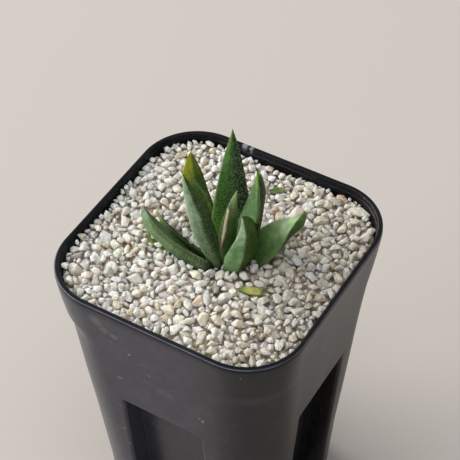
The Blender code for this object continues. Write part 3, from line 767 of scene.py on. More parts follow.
def bumps(u, v, size_u, size_v, seed, fill=0.85):
    """Scattered round swellings over a sheet measured in millimetres: 0 between
    them, about 1 on top of each."""
    cu, cv = u / size_u, v / size_v
    iu, iv = np.floor(cu).astype(np.int64), np.floor(cv).astype(np.int64)
    best = np.zeros(u.shape)
    for du in (-1, 0, 1):
        for dv in (-1, 0, 1):
            a, b = iu + du, iv + dv
            pu = a + 0.15 + 0.7 * hash01(a, b, np.int64(seed))
            pv = b + 0.15 + 0.7 * hash01(a, b, np.int64(seed + 1))
            size = 0.30 + 0.26 * hash01(a, b, np.int64(seed + 2))
            there = hash01(a, b, np.int64(seed + 3)) < fill
            r2 = ((cu - pu) ** 2 + (cv - pv) ** 2) / size**2
            best = np.maximum(best, there * np.exp(-1.5 * r2) * (0.55 + 0.45 * hash01(a, b, np.int64(seed + 4))))
    return best


LEAF_LOOK = {
    # rough: height of the tubercles on the back and on the upper face (mm)
    # colours (back, face) are linear; tip is the colour that the last part takes
    "leaf_heart": dict(dots=(0.35, 0.35), rough=(0.08, 0.09), back=(0.122, 0.245, 0.054), face=(0.045, 0.122, 0.023), tip=(0.36, 0.48, 0.20), tip_from=0.62),
    "leaf_tall_back": dict(dots=(0.6, 1.0), rough=(0.08, 0.16), back=(0.058, 0.139, 0.028), face=(0.035, 0.101, 0.024), tip=(0.075, 0.155, 0.045), tip_from=0.86),
    "leaf_upright_left": dict(dots=(1.0, 0.4), rough=(0.17, 0.08), back=(0.078, 0.145, 0.047), face=(0.036, 0.088, 0.019), tip=(0.13, 0.21, 0.07), tip_from=0.90),
    "leaf_back_right": dict(dots=(0.35, 0.55), rough=(0.09, 0.09), back=(0.065, 0.139, 0.028), face=(0.091, 0.189, 0.051), tip=(0.17, 0.25, 0.03), tip_from=0.78),
    "leaf_front_short": dict(dots=(0.10, 0.10), keel=0.32, sharp=0.68, rough=(0.035, 0.03), back=(0.104, 0.183, 0.042), face=(0.078, 0.151, 0.028), tip=(0.12, 0.16, 0.05), tip_from=0.88),
    "leaf_back_left": dict(dots=(0.4, 0.4), rough=(0.06, 0.06), back=(0.065, 0.132, 0.017), face=(0.078, 0.151, 0.019), tip=(0.24, 0.30, 0.03), tip_from=0.62),
    "leaf_spreading_right": dict(dots=(0.12, 0.12), rough=(0.05, 0.05), back=(0.065, 0.145, 0.028), face=(0.111, 0.208, 0.056), tip=(0.17, 0.25, 0.07), tip_from=0.84),
    "leaf_low_left": dict(dots=(0.95, 0.5), rough=(0.17, 0.08), back=(0.085, 0.151, 0.047), face=(0.039, 0.088, 0.017), tip=(0.13, 0.19, 0.10), tip_from=0.86),
    "leaf_behind_left": dict(rough=(0.06, 0.06), back=(0.052, 0.120, 0.017), face=(0.039, 0.101, 0.014), tip=(0.17, 0.22, 0.05), tip_from=0.72),
    "leaf_under_left": dict(rough=(0.06, 0.05), back=(0.234, 0.378, 0.019), face=(0.182, 0.303, 0.019), tip=(0.24, 0.36, 0.03), tip_from=0.60),
    "old_leaf_tip_front": dict(rough=(0.04, 0.04), back=(0.50, 0.47, 0.13), face=(0.50, 0.47, 0.14), tip=(0.10, 0.19, 0.025), tip_from=0.42),
    "old_leaf_tip_back": dict(rough=(0.03, 0.03), back=(0.10, 0.14, 0.03), face=(0.085, 0.13, 0.025), tip=(0.28, 0.30, 0.10), tip_from=0.45),
}


def build_leaf(name, row, skin, seed):
    leaf = leaf_of(row)
    look = LEAF_LOOK[name]
    girth = leaf["width"] * 2.3
    spacing = 0.22
    along_count = int(leaf["length"] / spacing)
    around = max(36, 2 * int(girth / spacing / 2))
    s = 1 - (1 - np.linspace(0, 1, along_count)[:-1]) ** 1.0
    place, along, normal, across = leaf_axis(leaf, s)
    drift = 0.04 * value_noise(np.stack([s * 5, s * 0, s * 0 + seed], 1), seed)
    half = leaf_half(s, leaf) * (1 + drift)
    deep = leaf["thickness"] * (1 - 0.35 * s) * np.minimum(1, (1 - s) / 0.25) ** 0.6
    deep = np.minimum(deep, 1.1 * half)
    angle = 2 * np.pi * np.arange(around) / around
    c, q = np.cos(angle)[None, :], np.sin(angle)[None, :]
    upper = -0.25 * deep[:, None] * (1 - c * c) + 0.12 * deep[:, None] * q
    keel = look.get("keel", 0.0)
    side = np.where(c > keel, (c - keel) / (1 - keel), (c - keel) / (1 + keel))
    sharp = look.get("sharp", 0.45)
    lower = -deep[:, None] * ((1 - sharp) * np.abs(q) + sharp * (1 - np.sqrt(side * side + 0.0025)))
    y = np.where(q > 0, upper, lower)
    x = half[:, None] * c
    pts = place[:, None] + x[..., None] * across[:, None] + y[..., None] * normal[:, None]
    n, m = x.shape
    # Distances over the skin, for the tubercles.
    u = np.repeat((s * leaf["length"])[:, None], m, 1)
    step = np.linalg.norm(np.roll(pts, -1, 1) - pts, axis=2)
    v = np.concatenate([np.zeros((n, 1)), np.cumsum(step, 1)[:, :-1]], 1)
    v = v - v[:, m // 2][:, None]
    back = smooth(0.15, -0.15, q) + 0 * x
    field_back = bumps(u, v, 0.62, 0.95, 11 * seed)
    field_face = bumps(u + 300, v, 0.95, 0.85, 11 * seed + 5, 0.7)
    field = field_back * back + field_face * (1 - back)
    rough = look["rough"][0] * back + look["rough"][1] * (1 - back)
    fade = smooth(1.0, 0.93, s)[:, None] * smooth(0.0, 0.10, s)[:, None]
    margin = np.exp(-(((np.abs(c) - 1) / 0.06) ** 2)) + 0 * x
    height = rough * field * fade * (1 + 0.5 * margin)
    height = height + 0.05 * fractal(np.stack([u, v, v * 0 + 9 * seed], -1).reshape(-1, 3) * 0.22, 2, seed).reshape(n, m)
    # Outward normals of the smooth skin.
    du = np.gradient(pts, axis=0)
    dv = np.roll(pts, -1, 1) - np.roll(pts, 1, 1)
    out = np.cross(dv, du)
    out /= np.maximum(np.linalg.norm(out, axis=2, keepdims=True), 1e-9)
    centre = pts.mean(1, keepdims=True)
    if ((out * (pts - centre)).sum(2)).mean() < 0:
        out = -out
    pts = pts + out * height[..., None]
    tip, _, _, _ = leaf_axis(leaf, np.array([1.0]))
    low = pts[0].mean(0)
    verts = np.concatenate([pts.reshape(-1, 3), tip, [low]])
    faces = skin_of_rings(n, m).tolist()
    last = (n - 1) * m
    for j in range(m):
        faces.append([last + j, last + (j + 1) % m, n * m])
        faces.append([(j + 1) % m, j, n * m + 1])
    # Colour.
    S = np.repeat(s[:, None], m, 1)
    P3 = pts.reshape(-1, 3)
    cloud = fractal(P3 * 0.16, 3, 40 + seed).reshape(n, m)
    streak = fractal(np.stack([u * 0.10, v * 0.9, v * 0 + seed], -1).reshape(-1, 3), 2, 60 + seed).reshape(n, m)
    colour = np.array(look["back"])[None, None] * back[..., None] + np.array(look["face"])[None, None] * (1 - back)[..., None]
    colour = colour * (1 + 0.16 * cloud + 0.12 * streak)[..., None]
    t = smooth(look["tip_from"], 1.0, S + 0.05 * cloud)[..., None]
    colour = colour * (1 - t) + np.array(look["tip"]) * t
    edge = np.exp(-(((np.abs(c) - 1) / 0.035) ** 2)) * (0.5 + 0 * x)
    colour = colour * (1 - 0.5 * edge[..., None]) + np.array((0.20, 0.27, 0.12)) * 0.5 * edge[..., None]
    # The lowest part of each leaf is darkened as a painted contact shadow.
    base_contact_shade = smooth(0.16, 0.0, S)[..., None]
    colour = colour * (1 - 0.60 * base_contact_shade) + np.array((0.10, 0.11, 0.03)) * 0.10 * base_contact_shade
    # The per-leaf painters add painted light and shade, with a little real colour such as yellowed and dried tips.
    if name in PAINT:
        colour = PAINT[name](colour, S, x / np.maximum(half[:, None], 1e-6), back, cloud)
    tint = np.clip(colour, 0.004, 0.95).reshape(-1, 3)
    tint = np.concatenate([tint, [look["tip"], look["back"]]])
    tubercle = np.concatenate([(field * fade * np.minimum(1, rough / 0.10)).ravel(), [0, 0]])
    dots = look.get("dots", (0.3, 0.3))
    dots = np.concatenate([((dots[0] * back + dots[1] * (1 - back)) * fade).ravel(), [0, 0]])
    return mesh_object(name + "_skin", verts, faces, skin, (name,), attributes={"tint": tint, "tubercle": tubercle, "warts": dots})


def blend_to(colour, target, amount):
    return colour * (1 - amount[..., None]) + np.array(target) * amount[..., None]


def toned(colour, factor, amount):
    """Multiplies the colour by a factor where amount is 1."""
    return colour * (1 + (np.array(factor) - 1) * amount[..., None])


def paint_tall(colour, S, X, back, cloud):
    # Painted light and shade: the left half and its margin are painted lighter as painted sheen and highlight, the
    # right half is painted dark as painted shade, the leaf is darker towards its base, and a painted glow stands for
    # light coming through the lower left edge.
    face = 1 - back
    colour = toned(colour, (1.15, 1.12, 0.85), smooth(0.1, -0.4, X) * smooth(0.6, 0.8, S) * face)
    colour = toned(colour, (0.17, 0.24, 0.04), smooth(-0.05, 0.60, X + 0.15 * cloud) * face)
    colour = toned(colour, (2.5, 2.25, 1.9), smooth(-0.05, -0.60, X + 0.15 * cloud) * smooth(0.35, 0.62, S) * face)
    colour = toned(colour, (0.80, 0.92, 0.50), smooth(0.75, 0.45, S) * face)
    colour = toned(colour, (1.85, 1.60, 2.2), smooth(0.0, -0.5, X) * smooth(0.66, 0.84, S) * face)
    painted_transmitted_light = smooth(0.58, 0.25, S) * smooth(-0.30, -0.90, X) * face
    colour = blend_to(colour, (0.12, 0.29, 0.010), 0.90 * painted_transmitted_light)
    pale = smooth(-0.82, -0.98, X) * smooth(0.05, 0.3, S)
    return blend_to(colour, (0.26, 0.36, 0.20), 0.70 * pale)


def paint_upright(colour, S, X, back, cloud):
    # Painted light and shade: the side that faces left is painted light with a grey-green painted sheen, and the other
    # side is painted dark as painted shade.
    lit = smooth(-0.10, 0.30, X - 0.05 + 0.10 * cloud) * back
    colour = toned(colour, (1.25, 1.16, 1.35), smooth(0.55, 0.80, X) * smooth(0.1, 0.5, S) * back)
    colour = toned(colour, (3.9, 3.1, 5.8), lit * smooth(0.0, 0.80, S))
    return toned(colour, (0.26, 0.40, 0.08), (1 - lit) * smooth(0.1, 0.4, S) * back)


def paint_back_right(colour, S, X, back, cloud):
    # Painted light and shade: part of the upper face and the back are painted dark as painted shade, the rest of the
    # face is painted lighter with a painted sheen, the tip is brighter green, and a painted highlight runs along the
    # border of the shade.
    border = np.clip(0.45 - 2.4 * (S - 0.53), -0.5, 0.7)
    dark = smooth(-0.10, 0.20, X - border + 0.10 * cloud) * (1 - back) * smooth(0.985, 0.93, S)
    colour = toned(colour, (0.22, 0.27, 0.12), dark)
    colour = toned(colour, (0.14, 0.18, 0.06), back * smooth(0.99, 0.90, S))
    colour = toned(colour, (1.9, 2.2, 0.9), (1 - back) * smooth(0.72, 0.90, S))
    lift = (1 - dark) * (1 - back)
    colour = toned(colour, (1.15, 1.06, 1.45), lift * smooth(0.95, 0.6, S))
    light = np.exp(-(((X - border + 0.20) / 0.10) ** 2)) * smooth(0.62, 0.80, S) * (1 - back)
    return blend_to(colour, (0.24, 0.32, 0.14), 0.6 * light)


def paint_front(colour, S, X, back, cloud):
    # Painted light and shade: the flank on one side of the keel ridge is painted light with a painted sheen, and the
    # other flank is painted dark as painted shade.
    ridge = np.clip(0.28 + 0.8 * (S - 0.45), 0.25, 0.62)
    lit = smooth(-0.10, 0.10, X - ridge + 0.06 * cloud) * back
    colour = toned(colour, (2.9, 2.95, 6.0), lit * smooth(-0.1, 0.45, S))
    colour = toned(colour, (1.95, 1.48, 2.05), lit * smooth(0.55, 0.80, S))
    return toned(colour, (0.55, 0.66, 0.26), (1 - lit) * back * smooth(0.0, 0.25, S))


def paint_spreading(colour, S, X, back, cloud):
    # Painted light and shade: a painted sheen band lightens the middle of the upper face; the part near the base, the
    # part next to the front leaf and the back are painted dark as painted shade; the tip is darker.
    face = 1 - back
    colour = toned(colour, (1.25, 1.20, 1.50), smooth(0.15, 0.40, S + 0.05 * cloud) * face)
    colour = toned(colour, (2.7, 2.2, 3.1), smooth(0.50, 0.74, S + 0.05 * cloud) * smooth(0.99, 0.88, S) * face)
    colour = toned(colour, (0.68, 0.74, 0.66), smooth(0.40, 0.10, S + 0.05 * cloud) * face)
    colour = toned(colour, (0.55, 0.60, 0.45), back * smooth(0.20, 0.40, S) * smooth(0.80, 0.68, S))
    colour = toned(colour, (0.50, 0.56, 0.42), smooth(-0.30, -0.75, X) * smooth(0.55, 0.40, S) * face)
    return toned(colour, (0.60, 0.66, 0.50), smooth(0.90, 0.96, S))


def paint_back_left(colour, S, X, back, cloud):
    # The tip is yellowed; the face beyond a pale streak, in its channel, and the lower part are painted darker as
    # painted shade.
    gold = smooth(0.58, 0.84, S + 0.06 * cloud) * smooth(0.36, -0.20, X)
    line = np.clip(-0.15 + 4 * (0.77 - S), -0.5, 0.70)
    colour = toned(colour, (0.50, 0.56, 0.34), smooth(0.0, 0.25, X - line) * (1 - back))
    colour = toned(colour, (0.62, 0.58, 0.42), smooth(0.62, 0.36, S) * (1 - back))
    colour = blend_to(colour, (0.62, 0.60, 0.030), 0.90 * gold)
    streak = np.exp(-(((X - line) / 0.13) ** 2)) * smooth(0.95, 0.8, S) * smooth(0.2, 0.45, S) * (1 - back)
    return blend_to(colour, (0.19, 0.25, 0.08), 0.65 * streak)


def paint_low_left(colour, S, X, back, cloud):
    # Painted light and shade: the back, which faces the light, is painted much lighter as painted light except near the
    # base, and a band along one margin and the upper side are painted dark as painted shade; the tip has dried back.
    colour = toned(colour, (2.9, 2.55, 4.4), back * smooth(0.10, 0.80, S))
    colour = toned(colour, (0.56, 0.62, 0.58), back * smooth(0.60, 0.25, S))
    colour = toned(colour, (0.50, 0.56, 0.30), smooth(-0.80, -0.93, X) * smooth(0.95, 0.85, S) * back)
    colour = toned(colour, (0.80, 0.88, 0.55), 1 - back)
    dry = smooth(0.955, 0.985, S)
    return blend_to(colour, (0.42, 0.27, 0.13), dry)


def paint_behind(colour, S, X, back, cloud):
    # All but the tip is painted dark as painted shade behind the front leaves.
    return toned(colour, (0.38, 0.44, 0.20), smooth(0.94, 0.82, S))


def paint_heart(colour, S, X, back, cloud):
    # A pale grey-green band along one side of the back is a painted sheen.
    band = smooth(0.45, 0.65, X) * smooth(0.95, 0.80, S) * back
    return blend_to(colour, (0.20, 0.27, 0.13), 0.55 * band)


# Per-leaf painted light and shade: lighter where a leaf faces the light, darker where it is in shade.
PAINT = {
    "leaf_heart": paint_heart,
    "leaf_tall_back": paint_tall,
    "leaf_upright_left": paint_upright,
    "leaf_back_right": paint_back_right,
    "leaf_front_short": paint_front,
    "leaf_back_left": paint_back_left,
    "leaf_spreading_right": paint_spreading,
    "leaf_low_left": paint_low_left,
    "leaf_behind_left": paint_behind,
}

leaves = []
for index, (name, row) in enumerate(LEAF_TABLE.items()):
    skin = LEAF_SMOOTH if name in ("leaf_front_short", "leaf_spreading_right") else LEAF
    leaves.append(build_leaf(name, row, skin, index + 1))
for index, (name, row) in enumerate(OLD_TIPS.items()):
    leaves.append(build_leaf(name, row, LEAF_AGED, 30 + index))


# ------------------------------------------------------------ the dry strip
def build_strip():
    leaf = leaf_of(LEAF_TABLE["leaf_heart"])
    count, around = 90, 24
    t = np.linspace(0, 1, count)
    s = STRIP_FROM + (STRIP_TO - STRIP_FROM) * t
    place, along, normal, across = leaf_axis(leaf, s)
    half = leaf_half(s, leaf)
    curl = 0.10 * value_noise(np.stack([t * 9, t * 0, t * 0], 1), 71)
    side = 0.72 + 6.65 * np.maximum(0, 0.52 - s) ** 1.85 + 15.2 * np.maximum(0, s - 0.55) ** 2.58
    centre = place + across * (half * side)[:, None] + normal * (STRIP_OFF + curl)[:, None]
    w = STRIP_WIDTH / 2 * (0.55 + 0.45 * np.sin(np.pi * (0.15 + 0.8 * t)))
    w = w * (1 + 0.14 * value_noise(np.stack([t * 22, t * 0, t * 0 + 4], 1), 72)) * np.minimum(1, np.minimum(t, 1 - t) / 0.03 + 0.25)
    # It has curled round to face left.
    left = np.array((-0.86, -0.22, 0.46))
    left = left - along * (along @ left)[:, None]
    left /= np.linalg.norm(left, axis=1, keepdims=True)
    normal = normal - 0.75 * left
    normal /= np.linalg.norm(normal, axis=1, keepdims=True)
    turned = np.cross(normal, along)
    across = turned * np.sign((turned * across).sum(1))[:, None]
    a = 2 * np.pi * np.arange(around) / around
    h = STRIP_THICK / 2
    fold = 0.16 * np.cos(a) ** 2
    pts = (
        centre[:, None]
        + across[:, None] * (w[:, None] * np.cos(a)[None])[..., None]
        + normal[:, None] * (h * np.sin(a)[None] * 0.8 + fold[None] * 0.5 * np.sign(h))[..., None]
    )
    n, m = pts.shape[:2]
    verts = np.concatenate([pts.reshape(-1, 3), [pts[0].mean(0)], [pts[-1].mean(0)]])
    faces = skin_of_rings(n, m).tolist()
    for j in range(m):
        faces.append([(j + 1) % m, j, n * m])
        faces.append([(n - 1) * m + j, (n - 1) * m + (j + 1) % m, n * m + 1])
    rim = smooth(0.0, 0.45, -np.cos(a))[None] + 0 * pts[..., 0]
    ends = np.maximum(0.85 * smooth(0.34, 0.05, t), smooth(0.92, 1.0, t))[:, None] + 0 * rim
    brown = np.clip(0.7 * rim + ends, 0, 1)
    colour = np.array((1.0, 0.88, 0.60)) * (1 - brown[..., None]) + np.array((0.13, 0.075, 0.035)) * brown[..., None]
    tint = np.concatenate([colour.reshape(-1, 3), [(0.14, 0.08, 0.04)] * 2])
    return mesh_object("dry_edge_strip", verts, faces, DRY, ("dry_leaf_edge",), attributes={"tint": tint})


STRIP_WIDTH = 1.3
STRIP_THICK = 0.5
STRIP_FROM = 0.335
STRIP_TO = 0.83
STRIP_OFF = -1.25
leaves.append(build_strip())


# ------------------------------------------------------------------- gravel
def gravel_surface(x, y):
    """Height of the dressing's surface (mm) at a place in mm."""
    heap = 0.9 * np.exp(-((x - 10) ** 2 + (y + 14) ** 2) / 600)
    rise = 1.7 * np.clip(-x / 43, 0, 1) ** 2 + 0.7 * np.clip(-y / 43, 0, 1) ** 2 - 0.005 * y
    ripple = 0.35 * (np.sin(0.52 * x + 1.3) * np.cos(0.47 * y + 0.4) + 0.6 * np.sin(0.83 * x - 0.61 * y))
    back = 1.0 * np.clip(y / 43, 0, 1) ** 2
    return GRAVEL_LEVEL + heap + rise + back + ripple


def ico(level):
    bm = bmesh.new()
    bmesh.ops.create_icosphere(bm, subdivisions=level, radius=1.0)
    verts = np.array([v.co for v in bm.verts], float)
    bm.free()
    return verts / np.linalg.norm(verts, axis=1, keepdims=True)


def broken_stone(rng, worn=True):
    """A chip of stone: the space inside some random planes, its edges worn a
    little. Gives the planes, and the chip's points and triangles, in units of
    about its radius."""
    count = int(rng.integers(7, 13))
    normals = rng.normal(size=(count, 3))
    normals /= np.linalg.norm(normals, axis=1, keepdims=True)
    for _ in range(6):
        gap = normals[:, None] - normals[None]
        far = (gap**2).sum(2) + np.eye(count) * 9
        normals += 0.06 * (gap / (far[..., None] ** 1.5 + 0.05)).sum(1)
        normals /= np.linalg.norm(normals, axis=1, keepdims=True)
    reach = rng.uniform(0.55, 1.0, count)
    bm = bmesh.new()
    for point in normals / reach[:, None]:
        bm.verts.new(point)
    bm.verts.index_update()
    bmesh.ops.convex_hull(bm, input=bm.verts)
    bm.verts.ensure_lookup_table()
    bmesh.ops.triangulate(bm, faces=bm.faces)
    bm.verts.index_update()
    corners, members = [], {}
    for face in bm.faces:
        i = [v.index for v in face.verts]
        try:
            corner = np.linalg.solve(normals[i], reach[i])
        except np.linalg.LinAlgError:
            continue
        if np.linalg.norm(corner) > 1.7:
            corner *= 1.7 / np.linalg.norm(corner)
        for plane in i:
            members.setdefault(plane, []).append(len(corners))
        corners.append(corner)
    bm.free()
    bm = bmesh.new()
    made = [bm.verts.new(c) for c in corners]
    for plane, ids in members.items():
        n = normals[plane]
        e = np.cross(n, (0.3, 0.5, 0.8))
        e /= np.linalg.norm(e)
        f = np.cross(n, e)
        rel = np.array([corners[i] for i in ids]) - n * reach[plane]
        order = np.argsort(np.arctan2(rel @ f, rel @ e))
        if len(ids) >= 3:
            try:
                bm.faces.new([made[ids[i]] for i in order])
            except ValueError:
                pass
    bmesh.ops.remove_doubles(bm, verts=bm.verts, dist=0.16)
    bmesh.ops.holes_fill(bm, edges=bm.edges, sides=8)
    bmesh.ops.triangulate(bm, faces=[f for f in bm.faces if len(f.verts) > 5])
    if worn:
        bmesh.ops.bevel(
            bm, geom=bm.edges[:], offset=float(rng.uniform(0.045, 0.10)), segments=1, affect="EDGES", clamp_overlap=True
        )
        bmesh.ops.remove_doubles(bm, verts=bm.verts, dist=0.015)
    bmesh.ops.triangulate(bm, faces=bm.faces)
    bmesh.ops.recalc_face_normals(bm, faces=bm.faces)
    if bm.calc_volume(signed=True) < 0:
        bmesh.ops.reverse_faces(bm, faces=bm.faces)
    whole = all(edge.is_manifold for edge in bm.edges)
    bm.verts.index_update()
    verts = np.array([v.co for v in bm.verts], float)
    faces = np.array([[v.index for v in f.verts] for f in bm.faces])
    bm.free()
    return (normals, reach, verts, faces) if whole and len(faces) > 12 else None


def turn_matrix(rng, lean):
    """A random turn; the short axis tends to stand upright, as it does when
    grains settle."""
    spin = Matrix.Rotation(rng.uniform(0, 2 * np.pi), 3, "Z")
    way = rng.uniform(0, 2 * np.pi)
    axis = Vector((math.cos(way), math.sin(way), 0))
    return np.array(Matrix.Rotation(abs(rng.normal(0, lean)), 3, axis) @ spin)


def outside_pot(points, slack=0.05):
    """How far the outermost of the points is outside the pot's inner wall."""
    z = points[:, 2]
    half = np.where(z > 128.0, 43.15, RIM_HALF - LIP_PROUD - COLLAR_TAPER * (POT_HEIGHT - z) - WALL) - slack
    radius = RIM_RADIUS - LIP_PROUD - WALL
    q = np.abs(points[:, :2]) - (half - radius)[:, None]
    out = np.linalg.norm(np.maximum(q, 0), axis=1) + np.minimum(q.max(1), 0) - radius
    return out.max()


class Heap:
    """Grains dropped one by one on a height grid inside the pot."""

    cell = 0.4
    reach = 8

    def __init__(self, rng, leaf_objects):
        self.rng = rng
        self.size = int(90 / self.cell) + 1
        self.axis = (np.arange(self.size) - (self.size - 1) / 2) * self.cell
        gx, gy = np.meshgrid(self.axis, self.axis, indexing="ij")
        self.target = gravel_surface(gx, gy)
        self.top = self.target - 5.4
        self.grains = []
        verts, faces, start = [], [], 0
        for o in leaf_objects:
            co = np.empty(len(o.data.vertices) * 3)
            o.data.vertices.foreach_get("co", co)
            verts.append(co.reshape(-1, 3) / MM)
            faces += [[start + i for i in poly.vertices] for poly in o.data.polygons]
            start += len(verts[-1])
        verts = np.concatenate(verts)
        self.tree = BVHTree.FromPolygons(verts.tolist(), faces)
        self.low, self.high = verts.min(0) - 2.5, verts.max(0) + 2.5
        q = np.stack([np.abs(gx), np.abs(gy)], -1) - (42.6 - 18.6)
        self.wall = np.linalg.norm(np.maximum(q, 0), axis=2) + np.minimum(q.max(2), 0) - 18.6
        self.free = np.argwhere(self.wall < -0.5)
        offset = np.arange(-self.reach, self.reach + 1)
        self.ox, self.oy = np.meshgrid(offset, offset, indexing="ij")

    def footprint(self, points):
        n = 2 * self.reach + 1
        ix = np.round(points[:, 0] / self.cell).astype(int) + self.reach
        iy = np.round(points[:, 1] / self.cell).astype(int) + self.reach
        okay = (ix >= 0) & (iy >= 0) & (ix < n) & (iy < n)
        bottom, ceiling = np.full((n, n), 1e9), np.full((n, n), -1e9)
        np.minimum.at(bottom, (ix[okay], iy[okay]), points[okay, 2])
        np.maximum.at(ceiling, (ix[okay], iy[okay]), points[okay, 2])
        return bottom, ceiling

    def blocked(self, points, centre, slack):
        if (centre < self.low).any() or (centre > self.high).any():
            return False
        near = self.tree.find_nearest(Vector(centre), 3.6)
        if near[0] is None:
            return False
        for p in points[::4]:
            place, normal, _, far = self.tree.find_nearest(Vector(p), 1.6)
            if place is not None and (Vector(p) - place).dot(normal) < slack:
                return True
        return (Vector(centre) - near[0]).dot(near[1]) < 0

    def drop(self, form, matrix, spots, above, slack=0.02):
        """Tries the lowest of the spots (rows of the grid); True when the grain lies."""
        points = form["samples"] @ matrix.T
        bottom, ceiling = self.footprint(points)
        cx, cy = spots[:, 0], spots[:, 1]
        n = self.size - 1
        wx = np.clip(cx[:, None, None] + self.ox, 0, n)
        wy = np.clip(cy[:, None, None] + self.oy, 0, n)
        z = (self.top[wx, wy] - bottom).max((1, 2), where=(bottom < 1e8)[None], initial=-1e9)
        over = z - self.target[cx, cy]
        k = int(np.argmin(over))
        centre = np.array([self.axis[cx[k]], self.axis[cy[k]], z[k]])
        placed = points + centre
        if points[:, 2].max() + over[k] > above:
            return False
        if self.wall[cx[k], cy[k]] > -3.6 and outside_pot(placed) > 0:
            return False
        if self.blocked(placed, centre, slack):
            return False
        X, Y = wx[k], wy[k]
        solid = ceiling > -1e8
        current = self.top[X, Y]
        current[solid] = np.maximum(current[solid], (ceiling + z[k])[solid])
        self.top[X, Y] = current
        self.grains.append((form, matrix, centre, points[:, 2].max() + over[k]))
        return True


def build_gravel():
    rng = np.random.default_rng(20260)
    directions = ico(3)
    forms = []
    while len(forms) < 150:
        state = rng.bit_generator.state
        made = broken_stone(rng)
        if made is None:
            continue
        normals, reach, verts, faces = made
        after = rng.bit_generator.state
        rng.bit_generator.state = state
        rough = broken_stone(rng, worn=False)
        rng.bit_generator.state = after
        facing = np.clip(directions @ normals.T, 1e-6, None)
        samples = directions * np.minimum((reach / facing).min(1), 1.7)[:, None]
        forms.append(dict(samples=samples, verts=verts, faces=faces, rough=rough))
    heap = Heap(rng, leaves)

    def grain(radius, lean=0.95):
        form = forms[int(rng.integers(len(forms)))]
        stretch = np.diag([rng.uniform(1.10, 1.62), rng.uniform(0.84, 1.06), rng.uniform(0.62, 0.90)])
        return form, turn_matrix(rng, lean) @ stretch * radius

    misses = 0
    while len(heap.grains) < 5200 and misses < 420:
        radius = float(np.clip(rng.lognormal(math.log(1.52), 0.22), 0.95, 2.2))
        form, matrix = grain(radius)
        spots = heap.free[rng.integers(0, len(heap.free), 22)]
        if heap.drop(form, matrix, spots, 0.75 + 0.55 * rng.random()):
            misses = 0
        else:
            misses += 1
    print("main grains", len(heap.grains))
    # Smaller ones find the holes, close round the leaves as well.
    for size, tries, pick in ((1.20, 6000, 8), (0.90, 6000, 7), (0.62, 3000, 5)):
        hollow = heap.free[(heap.top - heap.target)[heap.free[:, 0], heap.free[:, 1]] < -0.55]
        for _ in range(tries):
            if not len(hollow):
                break
            form, matrix = grain(size * rng.uniform(0.8, 1.25), 1.2)
            heap.drop(form, matrix, hollow[rng.integers(0, len(hollow), pick)], 0.35, 0.0)
        print("with small ones", len(heap.grains))

    tones = [
        ((0.85, 0.808, 0.740), 0.38),
        ((0.84, 0.775, 0.675), 0.26),
        ((0.76, 0.680, 0.560), 0.11),
        ((0.70, 0.665, 0.615), 0.11),
        ((0.78, 0.685, 0.600), 0.06),
        ((0.62, 0.510, 0.370), 0.050),
        ((0.46, 0.430, 0.400), 0.035),
        ((0.48, 0.330, 0.220), 0.008),
        ((0.20, 0.170, 0.150), 0.006),
    ]
    share = np.cumsum([w for _, w in tones])
    share /= share[-1]
    names = ("gravel_white", "gravel_cream", "gravel_tan", "gravel_grey", "gravel_rose", "gravel_tan", "gravel_grey", "gravel_rose", "gravel_grey")
    groups = {}
    for form, matrix, centre, highest in heap.grains:
        tone = min(int(np.searchsorted(share, rng.random())), len(tones) - 1)
        colour = np.array(tones[tone][0]) * rng.uniform(0.90, 1.10) * (1 + rng.normal(0, 0.018, 3))
        seed = rng.random()
        if highest < -2.3:
            continue
        key, verts, faces = names[tone], form["verts"], form["faces"]
        if highest < -1.1:
            key = "gravel_lower"
            if form["rough"] is not None:
                verts, faces = form["rough"][2], form["rough"][3]
        placed = verts @ matrix.T + centre
        low, high = placed[:, 2].min(), placed[:, 2].max()
        # Each grain is darker and warmer towards its bottom.
        low_on_grain = smooth(0.55, 0.0, (placed[:, 2:] - low) / max(high - low, 1e-6))
        # Painted shade: grains towards the right are painted darker and warmer, and those far left a little lighter as
        # painted light.
        shade = 1.08 - 0.08 * float(smooth(-38, 0, centre[0])) - 0.33 * float(smooth(2, 42, centre[0]))
        shade_warmth = float(smooth(-20, 42, centre[0]))
        colour = colour * np.array((1.0, 1 - 0.012 * shade_warmth, 1 - 0.05 * shade_warmth))
        tint = colour * shade * (1 - 0.12 * low_on_grain) * (1 - low_on_grain * np.array([[0.0, 0.03, 0.08]]))
        groups.setdefault(key, []).append((placed, faces, tint, seed))
    made = []
    for key, grains in groups.items():
        starts = np.cumsum([0] + [len(g[0]) for g in grains[:-1]])
        verts = np.concatenate([g[0] for g in grains])
        faces = np.concatenate([g[1] + s0 for g, s0 in zip(grains, starts)])
        tint = np.clip(np.concatenate([g[2] for g in grains]), 0, 0.95)
        seed = np.concatenate([np.full(len(g[0]), g[3]) for g in grains])
        made.append(mesh_object(key, verts, faces, GRAVEL, smooth_faces=False, attributes={"tint": tint, "seed": seed}))
        print(key, len(grains), len(faces))
    return made


